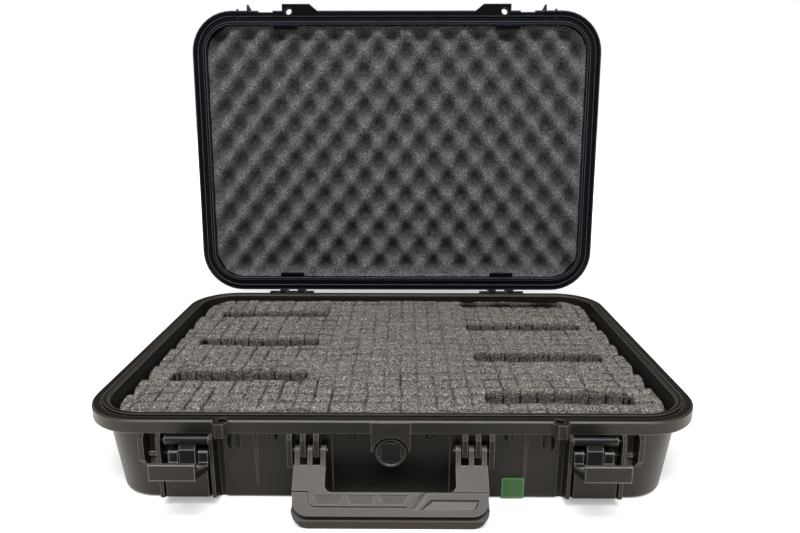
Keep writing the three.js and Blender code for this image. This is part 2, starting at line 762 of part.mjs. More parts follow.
function lidCavity() {
  const mouth = LID_MOUTH_IN;
  const inner = LID_OVERHANG + LID_WALL + LID_DRAFT;
  const top = LID_TOP - LID_TOP_WALL;
  const r = LID_EDGE_R - LID_WALL;
  const levels = [inset(LID_Z - OVER, mouth), inset(LID_FLANGE_Z + 3, mouth), inset(top - r, inner)];
  const steps = 2;
  for (let i = 1; i <= steps; i += 1) {
    const a = i / steps * Math.PI / 2;
    levels.push(inset(top - r * (1 - Math.sin(a)), inner + r * (1 - Math.cos(a))));
  }
  return loft(levels);
}

function channelRing(z0, z1, outer, inner) {
  return loft([inset(z0, outer), inset(z1, outer)])
    .subtract(loft([inset(z0 - OVER, inner), inset(z1 + OVER, inner)]));
}

function latchNotch(side) {
  const x = side * LATCH_X;
  const y0 = -HALF_D - OVER;
  return box(x - NOTCH_HALF, x + NOTCH_HALF, y0, -HALF_D + NOTCH_DEPTH, LID_Z - 1, LID_FLANGE_Z + OVER);
}

function lidShell() {
  let body = lidOuter();
  for (const side of [-1, 1]) {
    body = union([body, lidFins(side), lidLug(side), hingeBlocks(side, true)]);
    body = cut(body, [latchNotch(side), lugHole(side), hingeBore(side)]);
  }
  const channel = channelRing(LID_Z - OVER, LID_Z + SEAL_CHANNEL_DEPTH, BAND_W, BAND_W + SEAL_CHANNEL_W);
  return cut(body, [channel, lidCavity()]);
}

function lidGasket() {
  const z1 = LID_Z + SEAL_CHANNEL_DEPTH - GAP;
  return channelRing(z1 - SEAL_T, z1, BAND_W + GAP, BAND_W + SEAL_CHANNEL_W - GAP);
}

const LID_FOAM_BACK = LID_TOP - LID_TOP_WALL - GAP;
const FOAM_CLEARANCE = 0.4;

// Height of the convoluted face: staggered rows of peaks and hollows
function convolute(x, y) {
  const wave = Math.cos(2 * Math.PI * x / CONVOLUTE_X) * Math.cos(2 * Math.PI * y / CONVOLUTE_Y);
  return CONVOLUTE_DEPTH * (0.5 + 0.5 * wave);
}

// A block whose lower face follows a height over x and y, on a grid of nx by ny steps
function waveBlock(nx, ny, stepX, stepY, height, zBack) {
  const positions = [];
  const index = [];
  const at = (i, j) => j * (nx + 1) + i;
  for (let j = 0; j <= ny; j += 1) {
    for (let i = 0; i <= nx; i += 1) {
      const x = (i - nx / 2) * stepX;
      const y = (j - ny / 2) * stepY;
      positions.push(x, y, height(x, y));
    }
  }
  for (let j = 0; j < ny; j += 1) {
    for (let i = 0; i < nx; i += 1) {
      index.push(at(i, j), at(i, j + 1), at(i + 1, j + 1), at(i, j), at(i + 1, j + 1), at(i + 1, j));
    }
  }
  const corners = [[0, 0], [nx, 0], [nx, ny], [0, ny]];
  const first = positions.length / 3;
  for (const [i, j] of corners) {
    positions.push((i - nx / 2) * stepX, (j - ny / 2) * stepY, zBack);
  }
  index.push(first, first + 1, first + 2, first, first + 2, first + 3);
  corners.forEach(([i0, j0], k) => {
    const [i1, j1] = corners[(k + 1) % 4];
    const count = Math.max(Math.abs(i1 - i0), Math.abs(j1 - j0));
    const di = Math.sign(i1 - i0);
    const dj = Math.sign(j1 - j0);
    for (let m = 0; m < count; m += 1) {
      index.push(first + k, at(i0 + m * di, j0 + m * dj), at(i0 + (m + 1) * di, j0 + (m + 1) * dj));
    }
    index.push(first + k, at(i1, j1), first + (k + 1) % 4);
  });
  const g = new THREE.BufferGeometry();
  g.setAttribute('position', new THREE.Float32BufferAttribute(positions, 3));
  g.setIndex(index);
  return solid(g);
}

function lidFoam() {
  const stepX = CONVOLUTE_X / CONVOLUTE_STEPS;
  const stepY = CONVOLUTE_Y / CONVOLUTE_STEPS;
  const nx = 2 * Math.ceil((HALF_W - LID_MOUTH_IN) / stepX);
  const ny = 2 * Math.ceil((HALF_D - LID_MOUTH_IN) / stepY);
  const face = (x, y) => LID_FOAM_BACK - LID_FOAM_T + convolute(x, y);
  const block = waveBlock(nx, ny, stepX, stepY, face, LID_FOAM_BACK);
  const side = LID_OVERHANG + LID_WALL + LID_DRAFT + FOAM_CLEARANCE;
  const edge = LID_EDGE_R - LID_WALL;
  const outline = loft([
    inset(LID_Z, LID_MOUTH_IN + FOAM_CLEARANCE), inset(LID_FLANGE_Z + 3, LID_MOUTH_IN + FOAM_CLEARANCE),
    inset(LID_FOAM_BACK - edge, side), inset(LID_FOAM_BACK + GAP, side + edge),
  ], 5);
  return block.intersect(outline);
}

function foamClip(side, end) {
  const x = side * CLIP_X;
  const edge = HALF_D - LID_MOUTH_IN - GAP;
  const y0 = edge;
  const y1 = edge - CLIP_REACH;
  const z0 = LID_Z + 1;
  const c = CLIP_CORNER;
  const outline = [
    [x - CLIP_L / 2, end * y0], [x - CLIP_L / 2, end * (y1 + c)], [x - CLIP_L / 2 + c, end * y1],
    [x + CLIP_L / 2 - c, end * y1], [x + CLIP_L / 2, end * (y1 + c)], [x + CLIP_L / 2, end * y0],
  ];
  return prismZ(end > 0 ? outline.reverse() : outline, z0, z0 + CLIP_T);
}

// Latch lever in the pose of the photograph, dropped onto its rest

// A profile through the lever: each point is [forward of the lever's pin, above the pin]
function leverProfile(points, x0, x1) {
  return prismX(points.map(([reach, up]) => [-LEVER_Y - reach, LEVER_Z + up]), x0, x1);
}

function leverWeb(x0, x1) {
  return leverProfile([
    [PLATE_ROOT, -HUB_LEDGE + 0.6], [PLATE_ROOT + 1, -HUB_LOW], [LIP_REACH - 1, LIP_DOWN + 2],
    [LIP_REACH - LIP_T + 0.5, WEB_H],
  ], x0, x1);
}

function latchLever(side) {
  const x = side * LATCH_X;
  const half = LEVER_HALF;
  const inner = LIP_REACH - LIP_T;
  const lip = leverProfile([
    [inner, LIP_DOWN + 1.8], [inner + 0.4, LIP_DOWN], [LIP_REACH - LIP_EDGE, LIP_DOWN],
    [LIP_REACH, LIP_DOWN + LIP_EDGE], [LIP_REACH, LIP_UP - LIP_EDGE / 2],
    [LIP_REACH - LIP_EDGE / 2, LIP_UP], [inner, LIP_UP],
  ], x - half, x + half);
  const plate = leverProfile([
    [PLATE_ROOT, -HUB_LOW + PLATE_T + 0.2], [PLATE_ROOT + 1, -HUB_LOW], [inner + 0.4, LIP_DOWN],
    [inner + 0.4, LIP_DOWN + PLATE_T],
  ], x - half, x + half);
  const webs = [
    leverWeb(x - half, x - half + LEVER_WEB_T),
    leverWeb(x + half - LEVER_WEB_T, x + half),
  ];
  const hubs = [-1, 1].map((end) => {
    const ends = [x + end * (TAB_HALF + HUB_IN), x + end * (BARREL_HALF - HUB_OUT)].sort((a, b) => a - b);
    return leverProfile([
      [-HUB_BACK, -HUB_LEDGE - 2], [-HUB_BACK, HUB_TOP - 1], [-HUB_BACK + 1, HUB_TOP],
      [HUB_FRONT - 0.8, HUB_TOP], [HUB_FRONT, HUB_TOP - 0.8], [HUB_FRONT, -HUB_LEDGE],
      [PLATE_ROOT + 0.6, -HUB_LEDGE + 0.6], [PLATE_ROOT + 1, -HUB_LOW], [HUB_FRONT, -HUB_LOW],
    ], ends[0], ends[1]);
  });
  const reach = half + 2 * OVER;
  return union([lip, plate, ...webs, ...hubs])
    .subtract(rodX(LEVER_PIN_R + GAP, x - reach, x + reach, -LEVER_Y, LEVER_Z, 16));
}

// Lower pin, with a stub past the outer rib that carries the lever's spring
function latchPin(side) {
  const out = LATCH_RIB_OUT + LATCH_RIB_OUT_T + STUB_L;
  const inner = LATCH_RIB_IN - LATCH_RIB_IN_T;
  const x = [side * out, side * inner].sort((a, b) => a - b);
  return rodX(LEVER_PIN_R, x[0], x[1], -LEVER_Y, LEVER_Z, 12);
}

// Catch on the upper pin: a barrel with a tab that hangs down between the lever's hubs
function latchCatch(side) {
  const x = side * LATCH_X;
  const barrel = rodX(BARREL_R, x - BARREL_HALF, x + BARREL_HALF, -BARREL_Y, BARREL_Z);
  const back = -BARREL_Y - 0.5;
  const front = back - TAB_T;
  const under = BARREL_Z - BARREL_R;
  const tab = prismX([
    [back, BARREL_Z - TAB_L], [back, BARREL_Z - 2], [-BARREL_Y - 1.4, under + 0.8],
    [front + 0.6, under - TAB_SLOPE + 0.6], [front, under - TAB_SLOPE], [front, BARREL_Z - TAB_L],
  ], x - TAB_HALF, x + TAB_HALF);
  const reach = BARREL_HALF + OVER;
  return barrel.add(tab)
    .subtract(rodX(CATCH_PIN_R + GAP, x - reach, x + reach, -BARREL_Y, BARREL_Z, 16));
}

function catchPin(side) {
  const out = LATCH_RIB_OUT + LATCH_RIB_OUT_T;
  const inner = LATCH_RIB_IN - LATCH_RIB_IN_T - CATCH_PIN_PROUD;
  const x = [side * out, side * inner].sort((a, b) => a - b);
  return rodX(CATCH_PIN_R, x[0], x[1], -BARREL_Y, BARREL_Z, 16);
}

class Helix extends THREE.Curve {
  constructor(x, y, z, r, pitch, turns) {
    super();
    Object.assign(this, { x, y, z, r, pitch, turns });
  }

  getPoint(t, target = new THREE.Vector3()) {
    const a = t * this.turns * 2 * Math.PI;
    return target.set(
      this.x + t * this.turns * this.pitch,
      this.y + this.r * Math.cos(a),
      this.z + this.r * Math.sin(a),
    );
  }
}

function springCurve(side) {
  const start = side * (LATCH_RIB_OUT + LATCH_RIB_OUT_T + SPRING_WIRE);
  return new Helix(start, -LEVER_Y, LEVER_Z, SPRING_R, side * SPRING_PITCH, SPRING_TURNS);
}

// Least gap between turns, measured on points along the wire
function springGap(curve) {
  const perTurn = 48;
  const points = curve.getPoints(perTurn * SPRING_TURNS);
  let least = Infinity;
  for (let i = 0; i < points.length; i += 1) {
    for (let j = i + perTurn / 2; j < points.length; j += 1) {
      least = Math.min(least, points[i].distanceTo(points[j]));
    }
  }
  return least - SPRING_WIRE;
}

function latchSpring(side) {
  const shape = new THREE.Shape();
  const sides = 5;
  for (let i = 0; i < sides; i += 1) {
    const a = i / sides * 2 * Math.PI;
    const p = [SPRING_WIRE / 2 * Math.cos(a), SPRING_WIRE / 2 * Math.sin(a)];
    if (i === 0) shape.moveTo(...p);
    else shape.lineTo(...p);
  }
  shape.closePath();
  const curve = springCurve(side);
  const g = new THREE.ExtrudeGeometry(shape, { steps: SPRING_TURNS * 8, extrudePath: curve });
  return solid(g);
}

console.log('least gap in the latch spring, mm:', springGap(springCurve(1)).toFixed(2));

// Handle, hanging straight down from its pins: the grip's face is toward -Y

function handleOutline(s0) {
  const r = HANDLE_CORNER_R;
  const half = HANDLE_HALF_W;
  const low = -GRIP_BOTTOM_S;
  const s = new THREE.Shape();
  s.moveTo(-half, s0);
  s.lineTo(-half, low + r);
  s.absarc(-half + r, low + r, r, Math.PI, 1.5 * Math.PI);
  s.absarc(half - r, low + r, r, 1.5 * Math.PI, 2 * Math.PI);
  s.lineTo(half, s0);
  s.closePath();
  return s;
}

function handleInner() {
  const r = HANDLE_INNER_R;
  const half = HANDLE_ARM_IN;
  const s = new THREE.Shape();
  s.moveTo(-half, OVER);
  s.lineTo(-half, -GRIP_S0 + r);
  s.absarc(-half + r, -GRIP_S0 + r, r, Math.PI, 1.5 * Math.PI);
  s.absarc(half - r, -GRIP_S0 + r, r, 1.5 * Math.PI, 2 * Math.PI);
  s.lineTo(half, OVER);
  s.closePath();
  return s;
}

// Section of the grip in y and z, with the handle hanging straight down
function gripSection() {
  return [
    [FACE_BACK, -GRIP_S0], [GRIP_DEEP - 2.6, -GRIP_S0], [GRIP_DEEP, -GRIP_BACK_S],
    [EDGE_BACK, -GRIP_BOTTOM_S],
    [FACE_BACK, -GRIP_FACE_S],
  ];
}

function prongs() {
  const parts = [];
  for (const side of [-1, 1]) {
    for (const x of PRONG_X) {
      const x0 = side * x - PRONG_T / 2;
      parts.push(rodX(HANDLE_HUB_R, x0, x0 + PRONG_T, 0, 0, 16));
      parts.push(prismX([
        [0, 0], [-HANDLE_HUB_R * 0.92, -HANDLE_HUB_R * 0.4], [FACE_BACK, -PRONG_END],
        [FACE_BACK + 2.6, -PRONG_END], [FACE_BACK + 2.6, 0],
      ], x0, x0 + PRONG_T));
    }
  }
  return union(parts);
}

function handleFrame() {
  const half = HANDLE_HALF_W + OVER;
  const arms = plateXZ(handleOutline(-ARM_TOP_S), FACE_BACK, FACE_BACK + ARM_T)
    .subtract(plateXZ(handleInner(), 0, GRIP_DEEP))
    .subtract(box(-half, half, 0, GRIP_DEEP, -GRIP_BOTTOM_S - OVER, -GRIP_S0));
  const section = prismX(gripSection(), -half, half);
  const face = plateXZ(handleOutline(-GRIP_S0 + 1), FACE_BACK - 1, FACE_BACK + FACE_T)
    .intersect(section);
  const bodies = union([arms, face, prongs()]);
  const reach = HANDLE_HALF_W + OVER;
  return bodies.subtract(rodX(HANDLE_PIN_R + GAP, -reach, reach, 0, 0, 16));
}

function handleGrip() {
  const half = HANDLE_HALF_W + OVER;
  const section = prismX(gripSection(), -half, half);
  const block = plateXZ(handleOutline(-GRIP_S0), FACE_BACK + FACE_T + GAP, GRIP_DEEP + 1);
  const armRoom = box(-half, half, 0, FACE_BACK + ARM_T + GAP, -GRIP_S0 - GAP, 0);
  return block.intersect(section).subtract(armRoom);
}

function handlePin(side) {
  const x0 = side * (HANDLE_RIB_X[0] + HANDLE_RIB_T / 2);
  const x1 = side * (PRONG_X[2] - PRONG_T / 2 - 1.6);
  return rodX(HANDLE_PIN_R, Math.min(x0, x1), Math.max(x0, x1), -HANDLE_PIN_Y, HANDLE_PIN_Z, 16);
}

// Valve: profiles are [radius, distance out from the wall]

function turnedY(profile, z, wallY) {
  const points = profile.map(([r, out]) => new THREE.Vector2(r, out));
  const g = new THREE.LatheGeometry(points, 24);
  g.rotateX(Math.PI);
  g.translate(0, -wallY, z);
  return solid(g);
}

function tubeY(rOut, rIn, out0, out1) {
  const y0 = -VALVE_WALL_Y - out1;
  const y1 = -VALVE_WALL_Y - out0;
  return rodY(rOut, y0, y1, 0, VALVE_Z).subtract(rodY(rIn, y0 - 1, y1 + 1, 0, VALVE_Z));
}

const SEAL_OUT = GAP + SEAL_RING_T;
const COLLAR_OUT = SEAL_OUT + GAP + COLLAR_T;
const CAP_BACK = COLLAR_OUT + GAP;
function valveBody() {
  const collar = tubeY(VALVE_R - 0.6, VALVE_BORE_R, SEAL_OUT + GAP, COLLAR_OUT);
  const stem = tubeY(VALVE_STEM_R, VALVE_BORE_R, -STEM_IN, SEAL_OUT + GAP + 0.5);
  return collar.add(stem);
}

function valveSeal() {
  return tubeY(VALVE_STEM_R + 2.6, VALVE_STEM_R + GAP, GAP, SEAL_OUT);
}

function valveNut() {
  const innerWall = tubLevel(VALVE_Z - NUT_R, TUB_WALL)[2];
  const y0 = -innerWall + GAP;
  const hex = rodY(NUT_R, y0, y0 + NUT_T, 0, VALVE_Z, 6);
  return hex.subtract(rodY(VALVE_STEM_R + GAP, y0 - 1, y0 + 8, 0, VALVE_Z));
}

function valveCap() {
  const face = CAP_BACK + VALVE_CAP_T;
  const rim = VALVE_RIM_W;
  const disc = turnedY([
    [0, CAP_BACK - 3], [VALVE_BORE_R - GAP, CAP_BACK - 3], [VALVE_BORE_R - GAP, CAP_BACK],
    [VALVE_R, CAP_BACK], [VALVE_R, face - 1], [VALVE_R - 1, face], [VALVE_R - rim, face],
    [VALVE_R - rim - 0.8, face - 1], [0, face - 1],
  ], VALVE_Z, VALVE_WALL_Y);
  const slots = [];
  for (let i = 0; i < 4; i += 1) {
    const s = new THREE.Shape();
    const mid = i * Math.PI / 2;
    const spread = 0.42;
    s.absarc(0, 0, VALVE_R - 2.6, mid - spread, mid + spread, false);
    s.absarc(0, 0, VALVE_R - 4.4, mid + spread, mid - spread, true);
    s.closePath();
    const g = slab(s, 3, 6);
    g.rotateX(Math.PI / 2);
    g.translate(0, -VALVE_WALL_Y - face + 2.4, VALVE_Z);
    slots.push(solid(g));
  }
  return cut(disc, slots);
}

// Small green recycling label on the front wall
function infoLabel() {
  const y = -WALL_HALF_Y + FRONT_DRAFT * 0.2 - GAP;
  const shape = roundedRect(LABEL_HALF_W, LABEL_H / 2, 1, LABEL_X, LABEL_LOW + LABEL_H / 2);
  const label = plateXZ(shape, y - LABEL_T, y);
  const tilt = Math.atan(FRONT_DRAFT / FLANGE_Z) / DEG;
  return label.translate([0, -y, 0]).rotate([tilt, 0, 0]).translate([0, y + FRONT_DRAFT * 0.72, 0]);
}

// Assembly

function pivot(x, y, z, angle) {
  const outer = new THREE.Group();
  outer.position.set(x, y, z);
  outer.rotation.x = angle * DEG;
  return outer;
}

const model = new THREE.Group();
model.add(part('base_shell', baseShell(), SHELL));
model.add(part('base_foam', baseFoam(), BASE_FOAM));
model.add(part('base_pad', basePad(), BASE_FOAM));
model.add(part('valve_body', valveBody(), RUBBER));
model.add(part('valve_seal', valveSeal(), RUBBER));
model.add(part('valve_nut', valveNut(), RUBBER));
model.add(part('valve_cap', valveCap(), RUBBER));
model.add(part('info_label', infoLabel(), LABEL_GREEN));

for (const side of [-1, 1]) {
  const name = sideName(side);
  model.add(part(`latch_pin_${name}`, latchPin(side), STEEL));
  model.add(part(`catch_pin_${name}`, catchPin(side), STEEL));
  model.add(part(`latch_spring_${name}`, latchSpring(side), STEEL));
  model.add(part(`latch_lever_${name}`, latchLever(side), LATCH_GREY));
  model.add(part(`latch_catch_${name}`, latchCatch(side), LATCH_GREY));
  model.add(part(`handle_pin_${name}`, handlePin(side), STEEL));
  const x = side * HINGE_X;
  const hingePin = rodX(HINGE_PIN_R, x - HINGE_HALF + 1, x + HINGE_HALF - 1, HINGE_Y, HINGE_Z, 16);
  model.add(part(`hinge_pin_${name}`, hingePin, STEEL));
}

const handle = pivot(0, -HANDLE_PIN_Y, HANDLE_PIN_Z, -HANDLE_LEAN);
handle.add(part('handle_frame', handleFrame(), HANDLE_GREY));
handle.add(part('handle_grip', handleGrip(), GRIP_DARK));
model.add(handle);

const lid = pivot(0, HINGE_Y, HINGE_Z, -LID_OPEN);
const lidParts = new THREE.Group();
lidParts.position.set(0, -HINGE_Y, -HINGE_Z);
lidParts.add(part('lid_shell', lidShell(), LID_BLACK));
lidParts.add(part('lid_gasket', lidGasket(), RUBBER));
lidParts.add(part('lid_foam', lidFoam(), LID_FOAM));
for (const side of [-1, 1]) {
  for (const end of [-1, 1]) {
    const place = end < 0 ? 'front' : 'back';
    lidParts.add(part(`foam_clip_${place}_${sideName(side)}`, foamClip(side, end), RUBBER));
  }
}
lid.add(lidParts);
model.add(lid);

export default model;
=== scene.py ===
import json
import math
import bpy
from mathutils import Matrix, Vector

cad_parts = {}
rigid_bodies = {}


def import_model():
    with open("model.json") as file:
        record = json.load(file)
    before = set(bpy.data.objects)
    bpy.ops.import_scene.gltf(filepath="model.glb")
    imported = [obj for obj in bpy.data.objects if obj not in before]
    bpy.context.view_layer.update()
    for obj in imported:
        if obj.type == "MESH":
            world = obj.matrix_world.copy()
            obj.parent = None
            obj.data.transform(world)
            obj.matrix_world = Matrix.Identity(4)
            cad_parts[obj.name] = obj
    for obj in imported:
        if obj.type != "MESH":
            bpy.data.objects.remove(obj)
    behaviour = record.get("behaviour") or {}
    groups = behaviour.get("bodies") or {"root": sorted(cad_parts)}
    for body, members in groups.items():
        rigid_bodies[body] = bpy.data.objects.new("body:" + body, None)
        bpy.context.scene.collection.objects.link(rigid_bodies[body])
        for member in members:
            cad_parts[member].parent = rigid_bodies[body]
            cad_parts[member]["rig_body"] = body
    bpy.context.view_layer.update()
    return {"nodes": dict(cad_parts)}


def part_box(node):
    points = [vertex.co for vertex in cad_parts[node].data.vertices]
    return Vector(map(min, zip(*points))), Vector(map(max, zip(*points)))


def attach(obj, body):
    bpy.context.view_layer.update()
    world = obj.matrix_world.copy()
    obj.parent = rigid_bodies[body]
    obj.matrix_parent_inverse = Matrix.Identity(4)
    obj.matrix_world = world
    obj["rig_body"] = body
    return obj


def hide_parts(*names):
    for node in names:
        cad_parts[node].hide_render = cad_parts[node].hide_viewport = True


bl_info = {
    "name": "Hard case with foam lining",
    "version": (1, 0, 0),
    "blender": (4, 5, 0),
    "location": "View3D > Sidebar > Hard Case",
    "description": "Dresses a hard case: moulded shells, foam linings, latches, handle and valve",
    "category": "Object",
}

import bmesh
import bpy
import numpy as np
from bpy.props import FloatProperty, FloatVectorProperty, IntProperty, PointerProperty
from mathutils import Matrix, Vector

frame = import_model()
NODES = frame["nodes"]

MM = 0.001
SIDES = ("left", "right")

# Places taken over from the CAD, in millimetres and degrees; two numbers are (y, z) or half sizes
RIM_HALF = (251.0, 173.5)
RIM_CORNER = 50.0
HINGE_AXIS = (179.1, 69.5)
LID_OPEN = 94.0
HANDLE_AXIS = (-171.0, 47.5)
HANDLE_LEAN = 43.0
HANDLE_FACE = 1.3

# The handle's face: pads as (left, right, lower left, lower right), and (half, low, radius) of the
# rounded outlines at its foot
PADS = ((-59.1, -36.8, -56.6, -38.3), (-33.6, -11.6, -30.7, -13.2), (-8.4, 14.1, -5.5, 10.8))
PAD_ROWS = (33.4, 40.0)
PAD_DEPTH = 0.6
DOT_DEPTH = 0.45
PAST_HANDLE = 79.0
FACE_FOOT = (75.3, 49.0, 12.5)
GRIP_FOOT = (77.5, 51.2, 14.5)
GROOVE_FOOT = (72.6, 46.4, 10.5)

# Base foam: its block, the scored cuts, and the beds and slits on its left (-1) and right (1)
BASE_FOAM_HALF = (231.0, 158.1)
BASE_FOAM_DRAFT = 6.4
BASE_FOAM_CORNER = 35.0
BASE_FOAM_Z = (18.8, 69.0)
CUT_SHIFT = 7.5
EDGE_NOTCHES = {
    -1: (-112.5, -82.5, -52.5, -7.5, 22.5, 52.5, 97.5),
    1: (-97.5, -67.5, -22.5, 7.5, 52.5, 82.5),
}
BED_OUTER = 206.5
BED_LENGTH = 127.0
BED_WIDTH = 24.0
BED_FLOOR = 55.0
BED_CORNER = 8.0
BED_MIDDLE = BED_OUTER - BED_LENGTH / 2
BEDS = ((-1, 107.0), (-1, 13.9), (-1, -73.1), (1, 143.9), (1, 62.0), (1, -26.0), (1, -117.9))
SLIT_LENGTH = 160.0
SLIT_WIDTH = 3.0
SLIT_FLOOR = 35.0
NUT_POCKET = (16.0, -148.5, 30.0)

# Sizes of the tables of uneven cubes: over the foam's top, and round its outside
CUBES = 60
OUTER_CUBES = 80

# Lid, as it lies closed: fins as (x, how proud, thickness)
LID_Z = 74.3
LID_FINS = ((180.8, 6.5, 2.4), (193.8, 1.8, 2.0))
CLIP_LENGTH = 31.0
CLIP_REACH = 6.2
CLIP_CORNER = 2.2
LID_FOAM_INSET = 16.6
LID_FOAM_PEAK = 81.2
LID_FOAM_BACK = 121.0
LID_FOAM_TAPER = 11.5

# Latch springs: their axis as (y, z), and the x where the right one starts
SPRING_AXIS = (-170.5, 44.5)
SPRING_START = 184.2
SPRING_RADIUS = 1.95
SPRING_WIRE = 0.8
SPRING_PITCH = 1.6
SPRING_TURNS = 4.0

# The stage's floor, just under the case
FLOOR_REACH = 6000.0
FLOOR_DROP = 0.2


def srgb(red, green, blue):
    """A colour as a screen shows it, from 0 to 255, as the linear colour that the nodes use."""
    return tuple(
        c / 12.92 if c <= 0.04045 else ((c + 0.055) / 1.055) ** 2.4
        for c in (red / 255, green / 255, blue / 255)
    )


def turn_about(axis, degrees):
    """A turn about a line along X through (y, z) in millimetres."""
    place = Matrix.Translation((0, axis[0] * MM, axis[1] * MM))
    return place @ Matrix.Rotation(math.radians(degrees), 4, "X") @ place.inverted()


# Colours of the small pieces
RUBBER = srgb(7, 7, 8)
# Colour of the painted highlight along the rubber's edges
RUBBER_HIGHLIGHT = srgb(40, 42, 46)
CLIP_BLACK = srgb(5, 5, 6)
BRIGHT_STEEL = srgb(84, 82, 80)
DARK_STEEL = srgb(52, 51, 49)
SPRING_STEEL = srgb(150, 147, 142)
LABEL_GREEN = srgb(48, 88, 46)
LABEL_BORDER = srgb(96, 126, 88)

LID_TURN = turn_about(HINGE_AXIS, -LID_OPEN)
HANDLE_TURN = turn_about(HANDLE_AXIS, -HANDLE_LEAN)


# Settings


def color_setting(name, description, default):
    """A colour that a user may change."""
    return FloatVectorProperty(
        name=name, description=description, subtype="COLOR", size=3, min=0, max=1, default=default
    )


def length_setting(name, description, default, low=0.0, high=1.0):
    """A length in metres that a user may change."""
    return FloatProperty(
        name=name, description=description, subtype="DISTANCE", unit="LENGTH",
        min=low, max=high, default=default, precision=5,
    )


class ShellSettings(bpy.types.PropertyGroup):
    base_color: color_setting("Base", "Moulded plastic of the base", srgb(22, 20, 18))
    lid_color: color_setting("Lid", "Moulded plastic of the lid", srgb(9, 9, 11))
    latch_color: color_setting("Latches", "Plastic of the levers and catches", srgb(29, 28, 28))
    # Colours of the painted highlights that lighten the moulded edges.
    base_edge_highlight: color_setting("Base edges", "Tone along the base's edges", srgb(140, 130, 118))
    lid_edge_highlight: color_setting("Lid edges", "Tone along the lid's edges", srgb(88, 96, 110))
    latch_edge_highlight: color_setting("Latch edges", "Tone along the latches' edges", srgb(150, 144, 138))
    grain: length_setting("Grain", "Size of the fine texture in the plastic", 0.0007, 0.0001, 0.01)
    edge: length_setting("Edge radius", "How round the moulded edges are", 0.0006, 0.0, 0.005)


class BaseFoamSettings(bpy.types.PropertyGroup):
    color: color_setting("Foam", "Average colour of the scored foam", srgb(122, 117, 112))
    pitch: length_setting("Cube size", "Distance between the scored cuts", 0.015, 0.005, 0.05)
    cut_depth: length_setting("Cut depth", "How far a cut opens at the top", 0.0026, 0.0, 0.01)
    cell: length_setting("Cell size", "Size of the foam's open cells", 0.001, 0.0002, 0.01)
    seed: IntProperty(name="Seed", description="Choice of the uneven cubes", default=7, min=0)


class LidFoamSettings(bpy.types.PropertyGroup):
    color: color_setting("Foam", "Colour of the foam on its peaks", srgb(95, 94, 97))
    # Painted shade colour at the bottom of the hollows.
    hollow_color: color_setting("Hollows", "Colour deep in the hollows", srgb(54, 54, 57))
    spacing_x: length_setting("Spacing across", "Peak to peak, side to side", 0.0354, 0.01, 0.1)
    spacing_y: length_setting("Spacing along", "Peak to peak, up the lid", 0.045, 0.01, 0.1)
    relief: length_setting("Relief", "Height from hollow to peak", 0.014, 0.0, 0.03)
    slant: FloatProperty(
        name="Slant", description="Share of the ridges that rise to the right at the left edge",
        subtype="FACTOR", min=0.5, max=1, default=0.72,
    )
    cell: length_setting("Cell size", "Size of the foam's open cells", 0.0012, 0.0002, 0.01)


class HandleSettings(bpy.types.PropertyGroup):
    frame_color: color_setting("Frame", "Upper plastic of the handle", srgb(63, 59, 55))
    grip_color: color_setting("Grip", "Underside of the grip", srgb(56, 50, 46))
    # Colour of the painted highlight that lightens the handle's edges.
    edge_highlight_color: color_setting("Edges", "Tone along the handle's edges", srgb(132, 126, 118))
    dot: length_setting("Dot size", "Radius of the dots on the grip's pads", 0.0005, 0.0001, 0.002)
    dot_pitch: length_setting("Dot spacing", "From dot to dot on the pads", 0.0014, 0.0005, 0.01)


class StageSettings(bpy.types.PropertyGroup):
    floor_color: color_setting("Floor", "Pale floor under the case", srgb(238, 238, 238))
    camera_place: FloatVectorProperty(
        name="Camera", description="Where the camera stands", subtype="TRANSLATION",
        size=3, unit="LENGTH", default=(0.01094, -0.62957, 0.31494),
    )
    camera_pitch: FloatProperty(
        name="Look down", description="How far the camera looks down", subtype="ANGLE",
        default=math.radians(14.38),
    )
    camera_yaw: FloatProperty(
        name="Look left", description="How far the camera looks to the left", subtype="ANGLE",
        default=math.radians(0.456),
    )
    lens: FloatProperty(
        name="Lens", description="Focal length on a 36 mm sensor", unit="CAMERA", default=29.14,
    )
    key: FloatProperty(
        name="Softboxes", description="Power of each large soft light, front and rear",
        unit="POWER", default=20.0,
    )
    strip: FloatProperty(
        name="Strip", description="Power of the narrow light overhead", unit="POWER", default=30.0,
    )
    sky: FloatProperty(
        name="Sky", description="Strength of the even light from all round", min=0, default=0.07,
    )
    white_from: FloatProperty(
        name="White from", description="How far out the floor starts to fade into the white",
        subtype="DISTANCE", unit="LENGTH", min=0, default=0.45,
    )


# Node helpers

INPUT_KINDS = {tuple: "NodeSocketColor", float: "NodeSocketFloat", int: "NodeSocketInt"}
OUTPUT_KINDS = {"Color": "NodeSocketColor", "Roughness": "NodeSocketFloat",
                "Normal": "NodeSocketVector", "Geometry": "NodeSocketGeometry"}


class Field:
    """What a socket in a node tree gives; sums on it are written as plain sums."""

    def __init__(self, tree, source):
        self.tree = tree
        self.source = source

    def step(self, operation, *others):
        node = place(self.tree, "ShaderNodeMath", {"operation": operation})
        for socket, value in zip(node.inputs, (self, *others)):
            plug(self.tree, socket, value)
        return Field(self.tree, node.outputs[0])

    def __add__(self, other):
        return self.step("ADD", other)

    def __sub__(self, other):
        return self.step("SUBTRACT", other)

    def __mul__(self, other):
        return self.step("MULTIPLY", other)

    def __truediv__(self, other):
        return self.step("DIVIDE", other)

    def __pow__(self, other):
        return self.step("POWER", other)

    __radd__ = __add__
    __rmul__ = __mul__

    def __rsub__(self, other):
        return Field(self.tree, other) - self

    def __rtruediv__(self, other):
        return Field(self.tree, other) / self

    def cosine(self):
        return self.step("COSINE")

    def size(self):
        return self.step("ABSOLUTE")

    def root(self):
        return self.step("SQRT")

    def ramp(self, low, high):
        """0 below low, 1 above high and even in between."""
        return result(self.tree, "ShaderNodeMapRange", Value=self, From_Min=low, From_Max=high)


